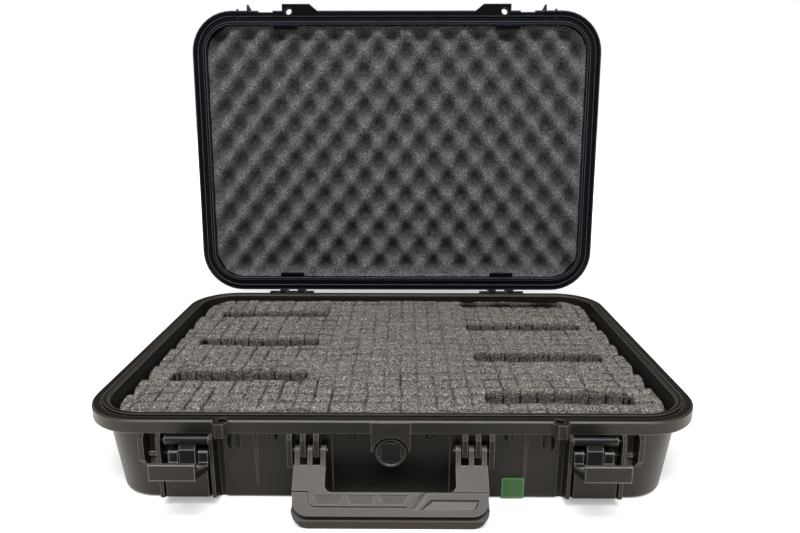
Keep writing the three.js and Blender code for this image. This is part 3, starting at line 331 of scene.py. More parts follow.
def plug(tree, socket, value):
    """Sets a socket to a plain value, or links it to a field or another socket."""
    if isinstance(value, Field):
        value = value.source
    if isinstance(value, bpy.types.NodeSocket):
        tree.links.new(value, socket)
    elif socket.type == "RGBA":
        socket.default_value = (*value, 1.0)[:4]
    else:
        socket.default_value = value


def fill(tree, node, **inputs):
    """Plugs values into a node's inputs, named with underscores for spaces."""
    for name, value in inputs.items():
        plug(tree, node.inputs[name.replace("_", " ")], value)


def place(tree, kind, settings=None, **inputs):
    """A node with its settings and inputs."""
    node = tree.nodes.new(kind)
    for name, value in (settings or {}).items():
        setattr(node, name, value)
    fill(tree, node, **inputs)
    return node


def result(tree, kind, settings=None, **inputs):
    """The first output of a new node."""
    return Field(tree, place(tree, kind, settings, **inputs).outputs[0])


def new_group(name, kind, outputs, **inputs):
    """An empty node group with named inputs: (the tree, its inputs as fields, its output node)."""
    tree = bpy.data.node_groups.new(name, kind)
    inputs = {label.replace("_", " "): default for label, default in inputs.items()}
    if "Geometry" in outputs:
        tree.interface.new_socket("Geometry", socket_type=OUTPUT_KINDS["Geometry"])
    for label, default in inputs.items():
        made = tree.interface.new_socket(label, socket_type=INPUT_KINDS[type(default)])
        made.default_value = default
    for label in outputs:
        tree.interface.new_socket(label, in_out="OUTPUT", socket_type=OUTPUT_KINDS[label])
    given = tree.nodes.new("NodeGroupInput").outputs
    fields = [Field(tree, given[label]) for label in inputs]
    return tree, fields, tree.nodes.new("NodeGroupOutput")


def blend_colors(tree, factor, first, second):
    """The first colour where the factor is 0, the second where it is 1."""
    node = place(tree, "ShaderNodeMix", {"data_type": "RGBA"})
    plug(tree, node.inputs[0], factor)
    plug(tree, node.inputs[6], first)
    plug(tree, node.inputs[7], second)
    return node.outputs[2]


def scaled_color(tree, color, factor):
    """A colour made lighter or darker."""
    return result(tree, "ShaderNodeVectorMath", {"operation": "SCALE"}, Vector=color, Scale=factor)


def own_place(tree):
    """Each point's place on its own piece."""
    return place(tree, "ShaderNodeTexCoord").outputs["Object"]


def noise(tree, where, scale, **inputs):
    """Soft random values from 0 to 1."""
    return result(tree, "ShaderNodeTexNoise", Vector=where, Scale=scale, **inputs)


def axes_of(tree, vector):
    """The x, y and z of a vector."""
    split = place(tree, "ShaderNodeSeparateXYZ", Vector=vector)
    return [Field(tree, socket) for socket in split.outputs]


def moulded_group(name):
    """Moulded plastic: fine grain, cloudy tone, and edges that are rounder and lighter with a
    painted highlight.
    """
    tree, inputs, out = new_group(
        name, "ShaderNodeTree", ("Color", "Roughness", "Normal"), Color=(0.05, 0.05, 0.05, 1),
        Roughness=0.5, Grain_Size=0.0007, Grain_Depth=0.00004, Edge_Radius=0.0006,
        Edge_Color=(0.2, 0.2, 0.2, 1), Edge_Lift=0.5, Cloud=0.12,
    )
    color, roughness, grain_size, grain_depth, radius, edge_highlight_color, edge_highlight_amount, cloudy = inputs
    where = own_place(tree)
    grain = noise(tree, where, 1.0 / grain_size, Detail=2.0, Roughness=0.6)
    cloud = noise(tree, where, 22.0, Detail=4.0, Roughness=0.6)
    rounded = result(tree, "ShaderNodeBevel", {"samples": 4}, Radius=radius)
    wide = result(tree, "ShaderNodeBevel", {"samples": 4}, Radius=radius * 2.0)
    facing = place(tree, "ShaderNodeVectorMath", {"operation": "DOT_PRODUCT"})
    plug(tree, facing.inputs[0], wide)
    plug(tree, facing.inputs[1], place(tree, "ShaderNodeNewGeometry").outputs["Normal"])
    # Painted highlight: near convex and concave edges alike, the colour is blended toward the
    # lighter edge colour.
    edge = Field(tree, facing.outputs["Value"]).ramp(0.995, 0.92)
    tone = 1.0 + (cloud - 0.5) * cloudy * 2.0 + (grain - 0.5) * 0.35
    highlighted = blend_colors(tree, edge * edge_highlight_amount, color, edge_highlight_color)
    fill(tree, out, Color=scaled_color(tree, highlighted, tone),
         Roughness=roughness + (cloud - 0.5) * 0.08 + (grain - 0.5) * 0.12,
         Normal=result(tree, "ShaderNodeBump", Distance=grain_depth, Height=grain, Normal=rounded))
    return tree


def foam_group(name):
    """Open-cell foam: light cell walls, pores darkened with painted shade, and a rough surface."""
    tree, (color, cell_size, contrast, depth, shade), out = new_group(
        name, "ShaderNodeTree", ("Color", "Normal"), Color=(0.2, 0.2, 0.2, 1), Cell_Size=0.0011,
        Contrast=1.0, Depth=0.0006, Shade=1.0,
    )
    where = own_place(tree)
    fineness = 1.0 / cell_size
    cells = place(tree, "ShaderNodeTexVoronoi", Vector=where, Scale=fineness, Randomness=1.0)
    pores = Field(tree, cells.outputs["Distance"])
    fleck, _, _ = axes_of(tree, cells.outputs["Color"])
    clumps = noise(tree, where, fineness * 0.33, Detail=3.0, Roughness=0.7)
    broad = noise(tree, where, 30.0, Detail=3.0)
    bright = fleck.ramp(0.76, 0.99) * 0.95
    dark = fleck.ramp(0.30, 0.02) * 0.55
    # Painted shade and light: the tone follows the bump's height, darker in the pores and lighter
    # on the raised clumps; the flecks and broad tone vary at random.
    swing = (bright - dark + (clumps - 0.5) * 0.6 + (0.42 - pores) * 0.7) * contrast
    tone = (1.0 + swing + (broad - 0.5) * 0.18) * shade
    height = clumps * 0.8 + fleck * 0.5 - pores * 0.7
    fill(tree, out, Color=scaled_color(tree, color, tone.step("MAXIMUM", 0.04)),
         Normal=result(tree, "ShaderNodeBump", Distance=depth, Height=height))
    return tree


def worn_steel_group(name):
    """Steel with fine marks along its length and a soft, uneven sheen."""
    tree, (color, roughness, fineness), out = new_group(
        name, "ShaderNodeTree", ("Color", "Roughness", "Normal"), Color=(0.5, 0.5, 0.5, 1),
        Roughness=0.35, Marks=2500.0,
    )
    where = own_place(tree)
    along = result(tree, "ShaderNodeMapping", Vector=where, Scale=(0.08, 1.0, 1.0))
    marks = noise(tree, along, fineness, Detail=3.0)
    patch = noise(tree, where, 260.0, Detail=3.0)
    tone = 1.0 + (marks - 0.5) * 0.5 + (patch - 0.5) * 0.5
    fill(tree, out, Color=scaled_color(tree, color, tone),
         Roughness=roughness + (patch - 0.5) * 0.3,
         Normal=result(tree, "ShaderNodeBump", Distance=0.00002, Height=marks))
    return tree


def new_material(name, **inputs):
    """A material with a Principled shader and its inputs: (material, its tree, the shader)."""
    material = bpy.data.materials.new(name)
    material.use_nodes = True
    tree = material.node_tree
    shader = tree.nodes["Principled BSDF"]
    fill(tree, shader, **inputs)
    return material, tree, shader


def use_group(tree, shader, name, build, **inputs):
    """Feeds a shader from the outputs of a group, which is built at its first use."""
    group = bpy.data.node_groups.get(name) or build(name)
    node = place(tree, "ShaderNodeGroup", {"node_tree": group}, **inputs)
    for output in node.outputs:
        goal = "Base Color" if output.name == "Color" else output.name
        tree.links.new(output, shader.inputs[goal])


def moulded(name, color, roughness, edge, lift=0.5, cloud=0.1, rounder=1.0, shine=0.5):
    """A moulded plastic finish for one kind of piece, with its own painted highlight colour along
    the edges.
    """
    shell = bpy.context.scene.case_shell
    material, tree, shader = new_material(name, Specular_IOR_Level=shine)
    use_group(
        tree, shader, "moulded_plastic", moulded_group, Color=color, Roughness=roughness,
        Grain_Size=shell.grain, Edge_Radius=shell.edge * rounder, Edge_Color=edge, Edge_Lift=lift,
        Cloud=cloud,
    )
    return material


def steel(name, color, roughness):
    """A steel finish for pins or springs."""
    material, tree, shader = new_material(name, Metallic=1.0)
    use_group(tree, shader, "worn_steel", worn_steel_group, Color=color, Roughness=roughness)
    return material


def use_foam(tree, shader, **inputs):
    """Gives a material the look of open-cell foam."""
    use_group(tree, shader, "open_cell_foam", foam_group, **inputs)
    fill(tree, shader, Roughness=0.95)


# Geometry trees


def position(tree):
    """Each point's x, y and z at this stage of a geometry tree."""
    return axes_of(tree, result(tree, "GeometryNodeInputPosition"))


def moved(tree, geometry, x, y, z, **selection):
    """The geometry with its points at new places."""
    new = result(tree, "ShaderNodeCombineXYZ", X=x, Y=y, Z=z)
    return result(tree, "GeometryNodeSetPosition", Geometry=geometry, Position=new, **selection)


def ended(tree, geometry, material, out):
    """The tree, ended with real instances and their material."""
    real = result(tree, "GeometryNodeRealizeInstances", Geometry=geometry)
    painted = result(tree, "GeometryNodeSetMaterial", Geometry=real, Material=material)
    fill(tree, out, Geometry=painted)
    return tree


def grown(name, tree, **inputs):
    """The plain mesh that a geometry tree makes from named inputs."""
    piece = new_piece(name, [(0, 0, 0)], [])
    modifier = piece.modifiers.new(name, "NODES")
    modifier.node_group = tree
    for item in tree.interface.items_tree:
        label = item.name.replace(" ", "_")
        if item.in_out == "INPUT" and label in inputs:
            modifier[item.identifier] = inputs[label]
    return settle(piece)


# Mesh helpers


def linked(name, data):
    """An object for a mesh, a lamp or a camera, put in the scene."""
    piece = bpy.data.objects.new(name, data)
    bpy.context.scene.collection.objects.link(piece)
    return piece


def new_piece(name, verts, faces):
    """A mesh object from points in millimetres."""
    mesh = bpy.data.meshes.new(name)
    mesh.from_pydata([tuple(v) for v in np.asarray(verts, float) * MM], [], faces)
    mesh.validate()
    return linked(name, mesh)


def settle(piece):
    """Turns a piece and its modifiers into a plain mesh."""
    bpy.context.view_layer.update()
    graph = bpy.context.evaluated_depsgraph_get()
    mesh = bpy.data.meshes.new_from_object(piece.evaluated_get(graph), depsgraph=graph)
    old = piece.data
    piece.modifiers.clear()
    piece.data = mesh
    mesh.name = piece.name
    bpy.data.meshes.remove(old)
    return piece


def carve(piece, tool, operation="DIFFERENCE"):
    """Cuts a piece with a tool, which is then thrown away."""
    modifier = piece.modifiers.new("carve", "BOOLEAN")
    modifier.operation = operation
    modifier.solver = "MANIFOLD"
    modifier.object = tool
    settle(piece)
    bpy.data.meshes.remove(tool.data)
    return piece


def reworked(mesh, change):
    """Runs a change on the editable form of a mesh and writes it back."""
    work = bmesh.new()
    work.from_mesh(mesh)
    change(work)
    work.to_mesh(mesh)
    work.free()


def outward(mesh):
    """Turns all faces of a mesh outward."""
    reworked(mesh, lambda work: bmesh.ops.recalc_face_normals(work, faces=work.faces))


def hull_tool(points):
    """The tight closed skin round some points in millimetres."""
    def wrap(work):
        for point in points:
            work.verts.new(Vector(point) * MM)
        bmesh.ops.convex_hull(work, input=work.verts)
        loose = [vert for vert in work.verts if not vert.link_faces]
        bmesh.ops.delete(work, geom=loose, context="VERTS")

    mesh = bpy.data.meshes.new("hull")
    reworked(mesh, wrap)
    outward(mesh)
    return linked("hull", mesh)


def smooth_by_angle(mesh, degrees):
    """Smooth shading, with the edges past an angle kept sharp."""
    def shade(work):
        limit = math.radians(degrees)
        for face in work.faces:
            face.smooth = True
        for edge in work.edges:
            edge.smooth = len(edge.link_faces) == 2 and edge.calc_face_angle(0.0) < limit

    reworked(mesh, shade)


def coat_with(piece, material, angle=None):
    """Gives a piece its one material and, if an angle is given, smooth shading up to it."""
    if angle:
        smooth_by_angle(piece.data, angle)
    piece.data.materials.clear()
    piece.data.materials.append(material)


def dressed(node, material, tools=(), added=()):
    """A merged, smoothly shaded copy of a CAD node, with tools cut out of it and others added."""
    mesh = NODES[node].data.copy()
    reworked(mesh, lambda work: bmesh.ops.remove_doubles(work, verts=work.verts, dist=0.000002))
    piece = linked(node + "_finished", mesh)
    for tool in tools:
        carve(piece, tool)
    for tool in added:
        carve(piece, tool, "UNION")
    reworked(piece.data, lambda work: bmesh.ops.dissolve_limit(
        work, angle_limit=math.radians(0.5), use_dissolve_boundaries=False, verts=work.verts,
        edges=work.edges,
    ))
    smooth_by_angle(piece.data, 32)
    piece.modifiers.new("weigh", "WEIGHTED_NORMAL").keep_sharp = True
    settle(piece)
    coat_with(piece, material)
    stand_for(piece, node)
    return piece


def stand_for(piece, node):
    """Puts a finished piece in a CAD node's place, on the same body."""
    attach(piece, NODES[node]["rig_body"])
    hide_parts(node)


def rounded_outline(half_x, half_y, radius, step):
    """Points about step apart round a rounded rectangle, each with its outward direction."""
    points = []
    arc = max(4, int(radius * math.pi / 2 / step))
    for sx, sy, start in ((1, 1, 0), (-1, 1, 90), (-1, -1, 180), (1, -1, 270)):
        cx, cy = sx * (half_x - radius), sy * (half_y - radius)
        for i in range(arc + 1):
            a = math.radians(start + 90 * i / arc)
            points.append((cx + radius * math.cos(a), cy + radius * math.sin(a),
                           math.cos(a), math.sin(a)))
    filled = []
    for k, point in enumerate(points):
        filled.append(point)
        after = points[(k + 1) % len(points)]
        parts = int(math.dist(point[:2], after[:2]) / step)
        for i in range(1, parts):
            t = i / parts
            filled.append(tuple(p + (q - p) * t for p, q in zip(point, after)))
    return np.array(filled)


def level_ring(x, y, z):
    """Points of an outline, all at one height."""
    return np.stack([x, y, np.full_like(x, z)], -1)


def lofted(name, rings):
    """A closed piece through rings with the same number of points, from the lowest up."""
    rings = [np.asarray(ring, float) for ring in rings]
    count = len(rings[0])
    faces = []
    for k in range(len(rings) - 1):
        for i in range(count):
            a, b = k * count + i, k * count + (i + 1) % count
            faces.append((a, b, b + count, a + count))
    faces.append(tuple(range(count - 1, -1, -1)))
    top = (len(rings) - 1) * count
    faces.append(tuple(range(top, top + count)))
    return new_piece(name, np.concatenate(rings), faces)


# Base foam


def cut_lines(half, pitch):
    """Where the grid's lines run: close to each cut on both sides, wider in between."""
    shares = np.array((0, 0.032, 0.085, 0.2, 0.4, 0.6, 0.8, 0.915, 0.968))
    count = math.ceil(half / pitch)
    cells = np.arange(-count - 1, count + 1)
    lines = (cells[:, None] + shares).ravel() * pitch + CUT_SHIFT
    return lines[(lines > -half) & (lines < half)]


def bell(distance, width):
    """1 at a line, falling off to both sides of it."""
    return np.exp(-((distance / width) ** 2))


def rise(values, start, length):
    """0 before the start, 1 past the length, and even in between."""
    return np.clip((values - start) / length, 0, 1)


def in_cubes(values, pitch):
    """Places counted in cubes from the cut nearest the middle."""
    return (values - CUT_SHIFT) / pitch


def nearest_cut(values, pitch):
    """How far off the nearest cut is."""
    cells = in_cubes(values, pitch)
    return np.abs(cells - np.round(cells)) * pitch


def cube_index(values, pitch, middle):
    """Which cube of a row a place belongs to."""
    return np.floor(in_cubes(values, pitch)).astype(int) + middle


def stepped(values, pitch, table):
    """A shift that is even within a cube and changes quickly at its cuts."""
    cells = in_cubes(values, pitch) - 0.5
    low = np.floor(cells).astype(int)
    t = np.clip((cells - low - 0.5) * 7 + 0.5, 0, 1)
    middle = len(table) // 2
    return table[low + middle] * (1 - t) + table[low + 1 + middle] * t


def opening_of_cuts(along, across, pitch, table):
    """How far each cut opens, as it changes from cube to cube along the cut."""
    cut = np.round(in_cubes(across, pitch)).astype(int) + CUBES // 2
    cells = in_cubes(along, pitch) + CUBES // 2
    low = np.clip(np.floor(cells).astype(int), 0, CUBES - 2)
    t = np.clip(cells - low, 0, 1)
    t = t * t * (3 - 2 * t)
    return table[cut, low] * (1 - t) + table[cut, low + 1] * t


def scored_block(settings):
    """A block of foam whose top is scored into cubes, a little larger than the lining."""
    pitch, depth = settings.pitch / MM, settings.cut_depth / MM
    chance = np.random.default_rng(settings.seed)
    margin, sunk, swell, swell_reach = 2.0, 0.9, 0.55, 4.0
    half_x, half_y = BASE_FOAM_HALF
    x, y = np.meshgrid(cut_lines(half_x + margin, pitch), cut_lines(half_y + margin, pitch))
    dx, dy = nearest_cut(x, pitch), nearest_cut(y, pitch)

    # Cuts: bell-shaped, unevenly open, and wider at the left, the right end and the front
    cuts_x = (0.1 + chance.uniform(0, 1.15, (CUBES, CUBES)) ** 2) * depth
    cuts_y = (0.15 + chance.uniform(0, 1.2, (CUBES, CUBES)) ** 2) * depth
    loose = 0.5 + 0.9 * rise(-x, 20, 140) + 0.4 * rise(x, 150, 60) + 0.5 * rise(-y, 50, 60)
    lowered = loose * np.maximum(
        opening_of_cuts(y, x, pitch, cuts_x) * bell(dx, 0.75),
        1.5 * opening_of_cuts(x, y, pitch, cuts_y) * bell(dy, 1.3),
    )

    # Top: each cube swells and stands a little higher or lower, and the beds' edges are pressed
    puff = swell * (np.minimum(dx, swell_reach) / swell_reach) ** 0.5
    puff = puff * (np.minimum(dy, swell_reach) / swell_reach) ** 0.5
    cube = chance.uniform(-0.4, 0.4, (CUBES, CUBES))
    column, row = cube_index(x, pitch, CUBES // 2), cube_index(y, pitch, CUBES // 2)
    wave = 0.45 * np.sin(x / 41 + 1.1) * np.cos(y / 33) + 0.3 * np.sin(x / 17 + y / 23)
    z = BASE_FOAM_Z[1] - sunk - lowered + puff + cube[column, row] + wave
    for side, middle in BEDS:
        z -= 0.9 * bell(bed_distance(x, y, side, middle), 1.6)
    sway_x = 0.4 * np.sin(y / 19 + 0.7) + stepped(y, pitch, chance.uniform(-0.9, 0.9, CUBES))
    sway_y = 0.4 * np.sin(x / 23 + 2.1) + stepped(x, pitch, chance.uniform(-0.7, 0.7, CUBES))
    top = np.stack([x + sway_x, y + sway_y, z], -1).reshape(-1, 3)

    # Faces: the top's grid, the walls down to the lower rim, and the underside
    index = np.arange(z.size).reshape(z.shape)
    quads = np.stack([index[:-1, :-1], index[:-1, 1:], index[1:, 1:], index[1:, :-1]], -1)
    faces = [tuple(q) for q in quads.reshape(-1, 4).tolist()]
    rim = np.concatenate([index[0, :-1], index[:-1, -1], index[-1, :0:-1], index[:0:-1, 0]])
    low = top[rim] * (1, 1, 0) + (0, 0, BASE_FOAM_Z[0] - margin)
    count, first = len(rim), len(top)
    for i in range(count):
        j = (i + 1) % count
        faces.append((int(rim[j]), int(rim[i]), first + i, first + j))
    faces.append(tuple(range(first + count - 1, first - 1, -1)))
    return new_piece("base_foam_lining", np.concatenate([top, low]), faces)


def bed_distance(x, y, side, middle):
    """Distance outside a bed's outline, 0 inside it."""
    dx = np.maximum(np.abs(x - side * BED_MIDDLE) - BED_LENGTH / 2 + BED_CORNER, 0)
    dy = np.maximum(np.abs(y - middle) - BED_WIDTH / 2 + BED_CORNER, 0)
    return np.maximum(np.hypot(dx, dy) - BED_CORNER, 0)


def lumpy_sleeve(settings):
    """The lining's outline, lumpy where the outer cubes bulge and drawn in at their cuts."""
    pitch = settings.pitch / MM
    chance = np.random.default_rng(settings.seed + 1)
    x, y, nx, ny = rounded_outline(*BASE_FOAM_HALF, BASE_FOAM_CORNER, 0.9).T
    share_x, share_y = np.abs(nx) ** 2, np.abs(ny) ** 2
    bulge = chance.uniform(0, 1.6, OUTER_CUBES)
    row = cube_index(y, pitch, OUTER_CUBES // 4) + (nx > 0) * (OUTER_CUBES // 2)
    column = cube_index(x, pitch, OUTER_CUBES // 2)
    drawn = 0.9 * bell(nearest_cut(y, pitch), 0.9) * share_x
    drawn += 1.5 * bell(nearest_cut(x, pitch), 0.9) * share_y
    for side, places in EDGE_NOTCHES.items():
        for middle in places:
            past = y - middle
            slope = np.where(past > 0, np.exp(-past / 9), bell(past, 1.6))
            drawn += 5.0 * slope * share_x * (np.sign(nx) == side)
    drawn += bulge[row] * share_x + 0.5 * bulge[column] * share_y
    low, high = BASE_FOAM_Z
    levels = ((low, 0.4), (high - 9, 0.0), (high - 4, 0.25), (high - 1.6, 1.3), (high + 2, 4.5))
    rings = []
    for z, inset in levels:
        reach = inset + drawn * (0.45 if z == low else 1.0)
        narrow = 1 - BASE_FOAM_DRAFT / BASE_FOAM_HALF[0] * max(high - z, 0) / (high - low)
        rings.append(level_ring((x - nx * reach) * narrow, y - ny * reach, z))
    return lofted("sleeve", rings)


def bed_tool(side, middle):
    """What presses one bed: soft upper edge, slightly wavy walls, round floor edge."""
    x, y, nx, ny = rounded_outline(BED_LENGTH / 2, BED_WIDTH / 2, BED_CORNER, 2.5).T
    wander = 0.35 * np.sin(x / 9 + middle) + 0.25 * np.sin(y / 5 + x / 13)
    low, high = BED_FLOOR, BASE_FOAM_Z[1]
    rings = []
    for z, inset in ((low, 3.2), (low + 0.8, 1.2), (low + 2.6, 0.2), (high - 3, 0.0),
                     (high - 0.8, -0.4), (high + 3, -2.4)):
        reach = inset + wander
        rings.append(level_ring(x - nx * reach + side * BED_MIDDLE, y - ny * reach + middle, z))
    return lofted("bed", rings)


def slit_tool(side, middle):
    """A narrow slit from a bed inward, a little wavy, pointed at its far end."""
    t = np.linspace(0, 1, 40)
    x = side * (BED_OUTER - BED_LENGTH + BED_CORNER) - side * SLIT_LENGTH * t
    half = SLIT_WIDTH / 2 * np.clip((1 - t) * 9, 0.08, 1)
    sway = 0.5 * np.sin(x / 14 + middle)
    far = np.stack([x, middle + sway + half], -1)
    near = np.stack([x, middle + sway - half], -1)
    x, y = np.concatenate([far, near[::-1]])[::-side].T
    return lofted("slit", [level_ring(x, y, z) for z in (SLIT_FLOOR, BASE_FOAM_Z[1] + 3)])


def nut_pocket():
    """Room in the foam's front edge for the valve's nut."""
    half, back, floor = NUT_POCKET
    front = -BASE_FOAM_HALF[1] - 9
    x, y = (-half, half, half, -half), (front, front, back, back)
    return lofted("pocket", [level_ring(x, y, z) for z in (floor, BASE_FOAM_Z[1] + 9)])


def scored_foam_finish(settings):
    """Foam with painted shade: dark cuts that run on down the walls and floors of the beds."""
    material, tree, shader = new_material("scored_foam", Specular_IOR_Level=0.15)
    where = own_place(tree)
    x, y, z = axes_of(tree, where)
    broken = noise(tree, where, 38.0).ramp(0.4, 0.62)
    lines = []
    # Painted shade: dark lines along the scored cuts, broken up at random.
    for value, wide, strength in ((x, 0.0012, 0.7), (y, 0.0026, 1.0)):
        cell = (value - CUT_SHIFT * MM) / settings.pitch
        near = (cell - cell.step("ROUND")).size() * settings.pitch
        lines.append(near.ramp(wide, wide * 0.3) * strength)
    line = lines[0].step("MAXIMUM", lines[1])
    top = BASE_FOAM_Z[1]
    # Painted shade: the foam turns darker the deeper it lies below its top, in the beds.
    deep = z.ramp((top - 2.2) * MM, (top - 7.0) * MM)
    deeper = z.ramp((top - 1.2) * MM, (top - 4.5) * MM)
    shade = 1.0 - deep * 0.42 - deeper * 0.2 - line * (deep * 0.3 + 0.1 + broken * 0.42)
    use_foam(tree, shader, Color=settings.color, Cell_Size=settings.cell, Contrast=1.6,
             Depth=0.0009, Shade=shade)
    return material


def build_base_foam(scene):
    settings = scene.case_base_foam
    piece = scored_block(settings)
    carve(piece, lumpy_sleeve(settings), "INTERSECT")
    for side, middle in BEDS:
        carve(piece, bed_tool(side, middle))
        carve(piece, slit_tool(side, middle))
    carve(piece, nut_pocket())
    coat_with(piece, scored_foam_finish(settings), 55)
    stand_for(piece, "base_foam")


# Lid foam


def convoluted_tree(material):
    """Foam with staggered peaks on one face: a rounded block that follows the named sizes."""
    tree, inputs, out = new_group(
        "convoluted_lining", "GeometryNodeTree", ("Geometry",), Half_Width=0.2344,
        Half_Depth=0.1569, Corner=0.0334, Spacing_Across=0.034, Spacing_Along=0.045,
        Shift_Across=0.0126, Shift_Along=0.0079, Relief=0.014, Slant=0.62, Peak=0.083, Back=0.121,
        Taper=0.0115, Uneven=0.0016, Columns=196, Rows=132,
    )
    (half_x, half_y, corner, spacing_x, spacing_y, shift_x, shift_y, relief, slant, peak, back,
     taper, uneven, columns, rows) = inputs
    grid = result(tree, "GeometryNodeMeshGrid", Size_X=half_x * 2.0, Size_Y=half_y * 2.0,
                  Vertices_X=columns, Vertices_Y=rows)

    # Corners: the grid's outer points are drawn in onto the arcs
    x, y, z = position(tree)
    u, v = ((value.size() - (half - corner)).step("MAXIMUM", 0.0) / corner
            for value, half in ((x, half_x), (y, half_y)))
    drawn_x = u * (1.0 - (1.0 - v * v * 0.5).root()) * corner * x.step("SIGN")
    drawn_y = v * (1.0 - (1.0 - u * u * 0.5).root()) * corner * y.step("SIGN")
    rounded = moved(tree, grid, x - drawn_x, y - drawn_y, z)

    # Hills and hollows: two slanted waves, shallower at the edges
    x, y, _ = position(tree)
    drift = (result(tree, "ShaderNodeTexNoise", Scale=26.0, Detail=3.0) - 0.5) * uneven
    across = (x - shift_x) / spacing_x * (2 * math.pi) + drift * 330.0
    along = (y - shift_y) / spacing_y * (2 * math.pi) + drift * 240.0
    share = 0.5 + (slant - 0.5) * (0.15 - x / half_x)
    waves = (across + along).cosine() * share + (across - along).cosine() * (1.0 - share)
    edges = (half_x - x.size()).ramp(0.0, 0.010) * (half_y - y.size()).ramp(0.0, 0.014)
    hollow = ((0.5 + waves * 0.5) ** 1.15) * (edges * 0.8 + 0.2)
    face = moved(tree, rounded, x, y, peak + hollow * relief + drift)
    store = result(tree, "GeometryNodeStoreNamedAttribute",
                   {"data_type": "FLOAT", "domain": "POINT"}, Geometry=face, Name="hollow",
                   Value=hollow)

    # The block behind the face, narrower at its back
    lift = result(tree, "ShaderNodeCombineXYZ", Z=0.01)
    raised = place(tree, "GeometryNodeExtrudeMesh", {"mode": "FACES"}, Mesh=store, Offset=lift,
                   Offset_Scale=1.0, Individual=False)
    x, y, _ = position(tree)
    block = moved(tree, raised.outputs["Mesh"], x * (1.0 - taper / half_x),
                  y * (1.0 - taper / half_y), back, Selection=raised.outputs["Top"])
    join = tree.nodes.new("GeometryNodeJoinGeometry")
    plug(tree, join.inputs[0], result(tree, "GeometryNodeFlipFaces", Mesh=store))
    plug(tree, join.inputs[0], block)
    merged = result(tree, "GeometryNodeMergeByDistance", Geometry=join.outputs[0],
                    Distance=0.00001)
    return ended(tree, merged, material, out)


def convoluted_finish(settings):
    """Foam with painted shade that darkens it toward the bottom of its hollows."""
    material, tree, shader = new_material("convoluted_foam", Specular_IOR_Level=0.15)
    hollow = place(tree, "ShaderNodeAttribute", {"attribute_name": "hollow"}).outputs["Fac"]
    depth = Field(tree, hollow).ramp(0.1, 0.8)
    # Painted shade: the colour turns to the hollow shade colour toward the bottom of the hollows.
    color = blend_colors(tree, depth, settings.color, settings.hollow_color)
    use_foam(tree, shader, Color=color, Cell_Size=settings.cell, Contrast=1.1, Depth=0.0007)
    return material


def build_lid_foam(scene):
    settings = scene.case_lid_foam
    material = convoluted_finish(settings)
    inset = LID_FOAM_INSET
    piece = grown(
        "lid_foam_lining", convoluted_tree(material),
        Half_Width=(RIM_HALF[0] - inset) * MM, Half_Depth=(RIM_HALF[1] - inset) * MM,
        Corner=(RIM_CORNER - inset) * MM, Spacing_Across=settings.spacing_x,
        Spacing_Along=settings.spacing_y, Relief=settings.relief, Slant=settings.slant,
        Peak=LID_FOAM_PEAK * MM, Back=LID_FOAM_BACK * MM, Taper=LID_FOAM_TAPER * MM,
    )
    piece.data.transform(LID_TURN)
    coat_with(piece, material, 60)
    stand_for(piece, "lid_foam")


# Latch springs


def coil_tree(material):
    """A coil of round wire that runs along X from its start."""
    tree, (radius, wire, length, turns), out = new_group(
        "coil", "GeometryNodeTree", ("Geometry",), Radius=0.0024, Wire=0.00045, Length=0.0056,
        Turns=4.0,
    )
    spiral = result(tree, "GeometryNodeCurveSpiral", Resolution=28, Rotations=turns,
                    Start_Radius=radius, End_Radius=radius, Height=length)
    profile = result(tree, "GeometryNodeCurvePrimitiveCircle", Resolution=8, Radius=wire)
    swept = result(tree, "GeometryNodeCurveToMesh", Curve=spiral, Profile_Curve=profile,
                   Fill_Caps=True)
    laid = result(tree, "GeometryNodeTransform", Geometry=swept, Rotation=(0, math.pi / 2, 0))
    return ended(tree, laid, material, out)


def build_springs(material):
    """Winds both latch springs on their stubs."""
    tree = coil_tree(material)
    length = SPRING_TURNS * SPRING_PITCH
    for name, start in zip(SIDES, (-SPRING_START - length, SPRING_START)):
        piece = grown(
            "latch_spring_" + name + "_wound", tree, Radius=SPRING_RADIUS * MM,
            Wire=SPRING_WIRE / 2 * MM, Length=length * MM, Turns=SPRING_TURNS,
        )
        piece.data.transform(Matrix.Translation([value * MM for value in (start, *SPRING_AXIS)]))
        coat_with(piece, material, 60)
        stand_for(piece, "latch_spring_" + name)


# Hard pieces


def build_base_shell(scene):
    shell = scene.case_shell
    finish = moulded("base_plastic", shell.base_color, 0.36, shell.base_edge_highlight, cloud=0.14, shine=0.4)
    dressed("base_shell", finish)


def lid_ribs():
    """Ribs that run on behind the lid's fins, down the lid's front wall."""
    front, low = -RIM_HALF[1], LID_Z
    ribs = []
    for side in (-1, 1):
        for x, proud, thickness in LID_FINS:
            profile = ((front + 14, low + 2), (front - proud + 0.3, low + 1),
                       (front + 1.5, low + 38), (front + 14, low + 42))
            rib = hull_tool([(side * x + t, y, z) for t in (-thickness / 2, thickness / 2)
                             for y, z in profile])
            rib.data.transform(LID_TURN)
            ribs.append(rib)
    return ribs


def build_lid_shell(scene):
    shell = scene.case_shell
    finish = moulded("lid_plastic", shell.lid_color, 0.24, shell.lid_edge_highlight, lift=0.9, rounder=1.3,
                     shine=0.15)
    dressed("lid_shell", finish, added=lid_ribs())


def build_latches(scene):
    shell = scene.case_shell
    finish = moulded("latch_plastic", shell.latch_color, 0.32, shell.latch_edge_highlight, lift=0.85,
                     cloud=0.16, shine=0.3)
    for name in SIDES:
        dressed("latch_lever_" + name, finish)
        dressed("latch_catch_" + name, finish)


def on_handle(x, down, depth):
    """A point of the handle as it hangs straight: across, down from its pins, into its face."""
    return (x, HANDLE_AXIS[0] + HANDLE_FACE + depth, HANDLE_AXIS[1] - down)


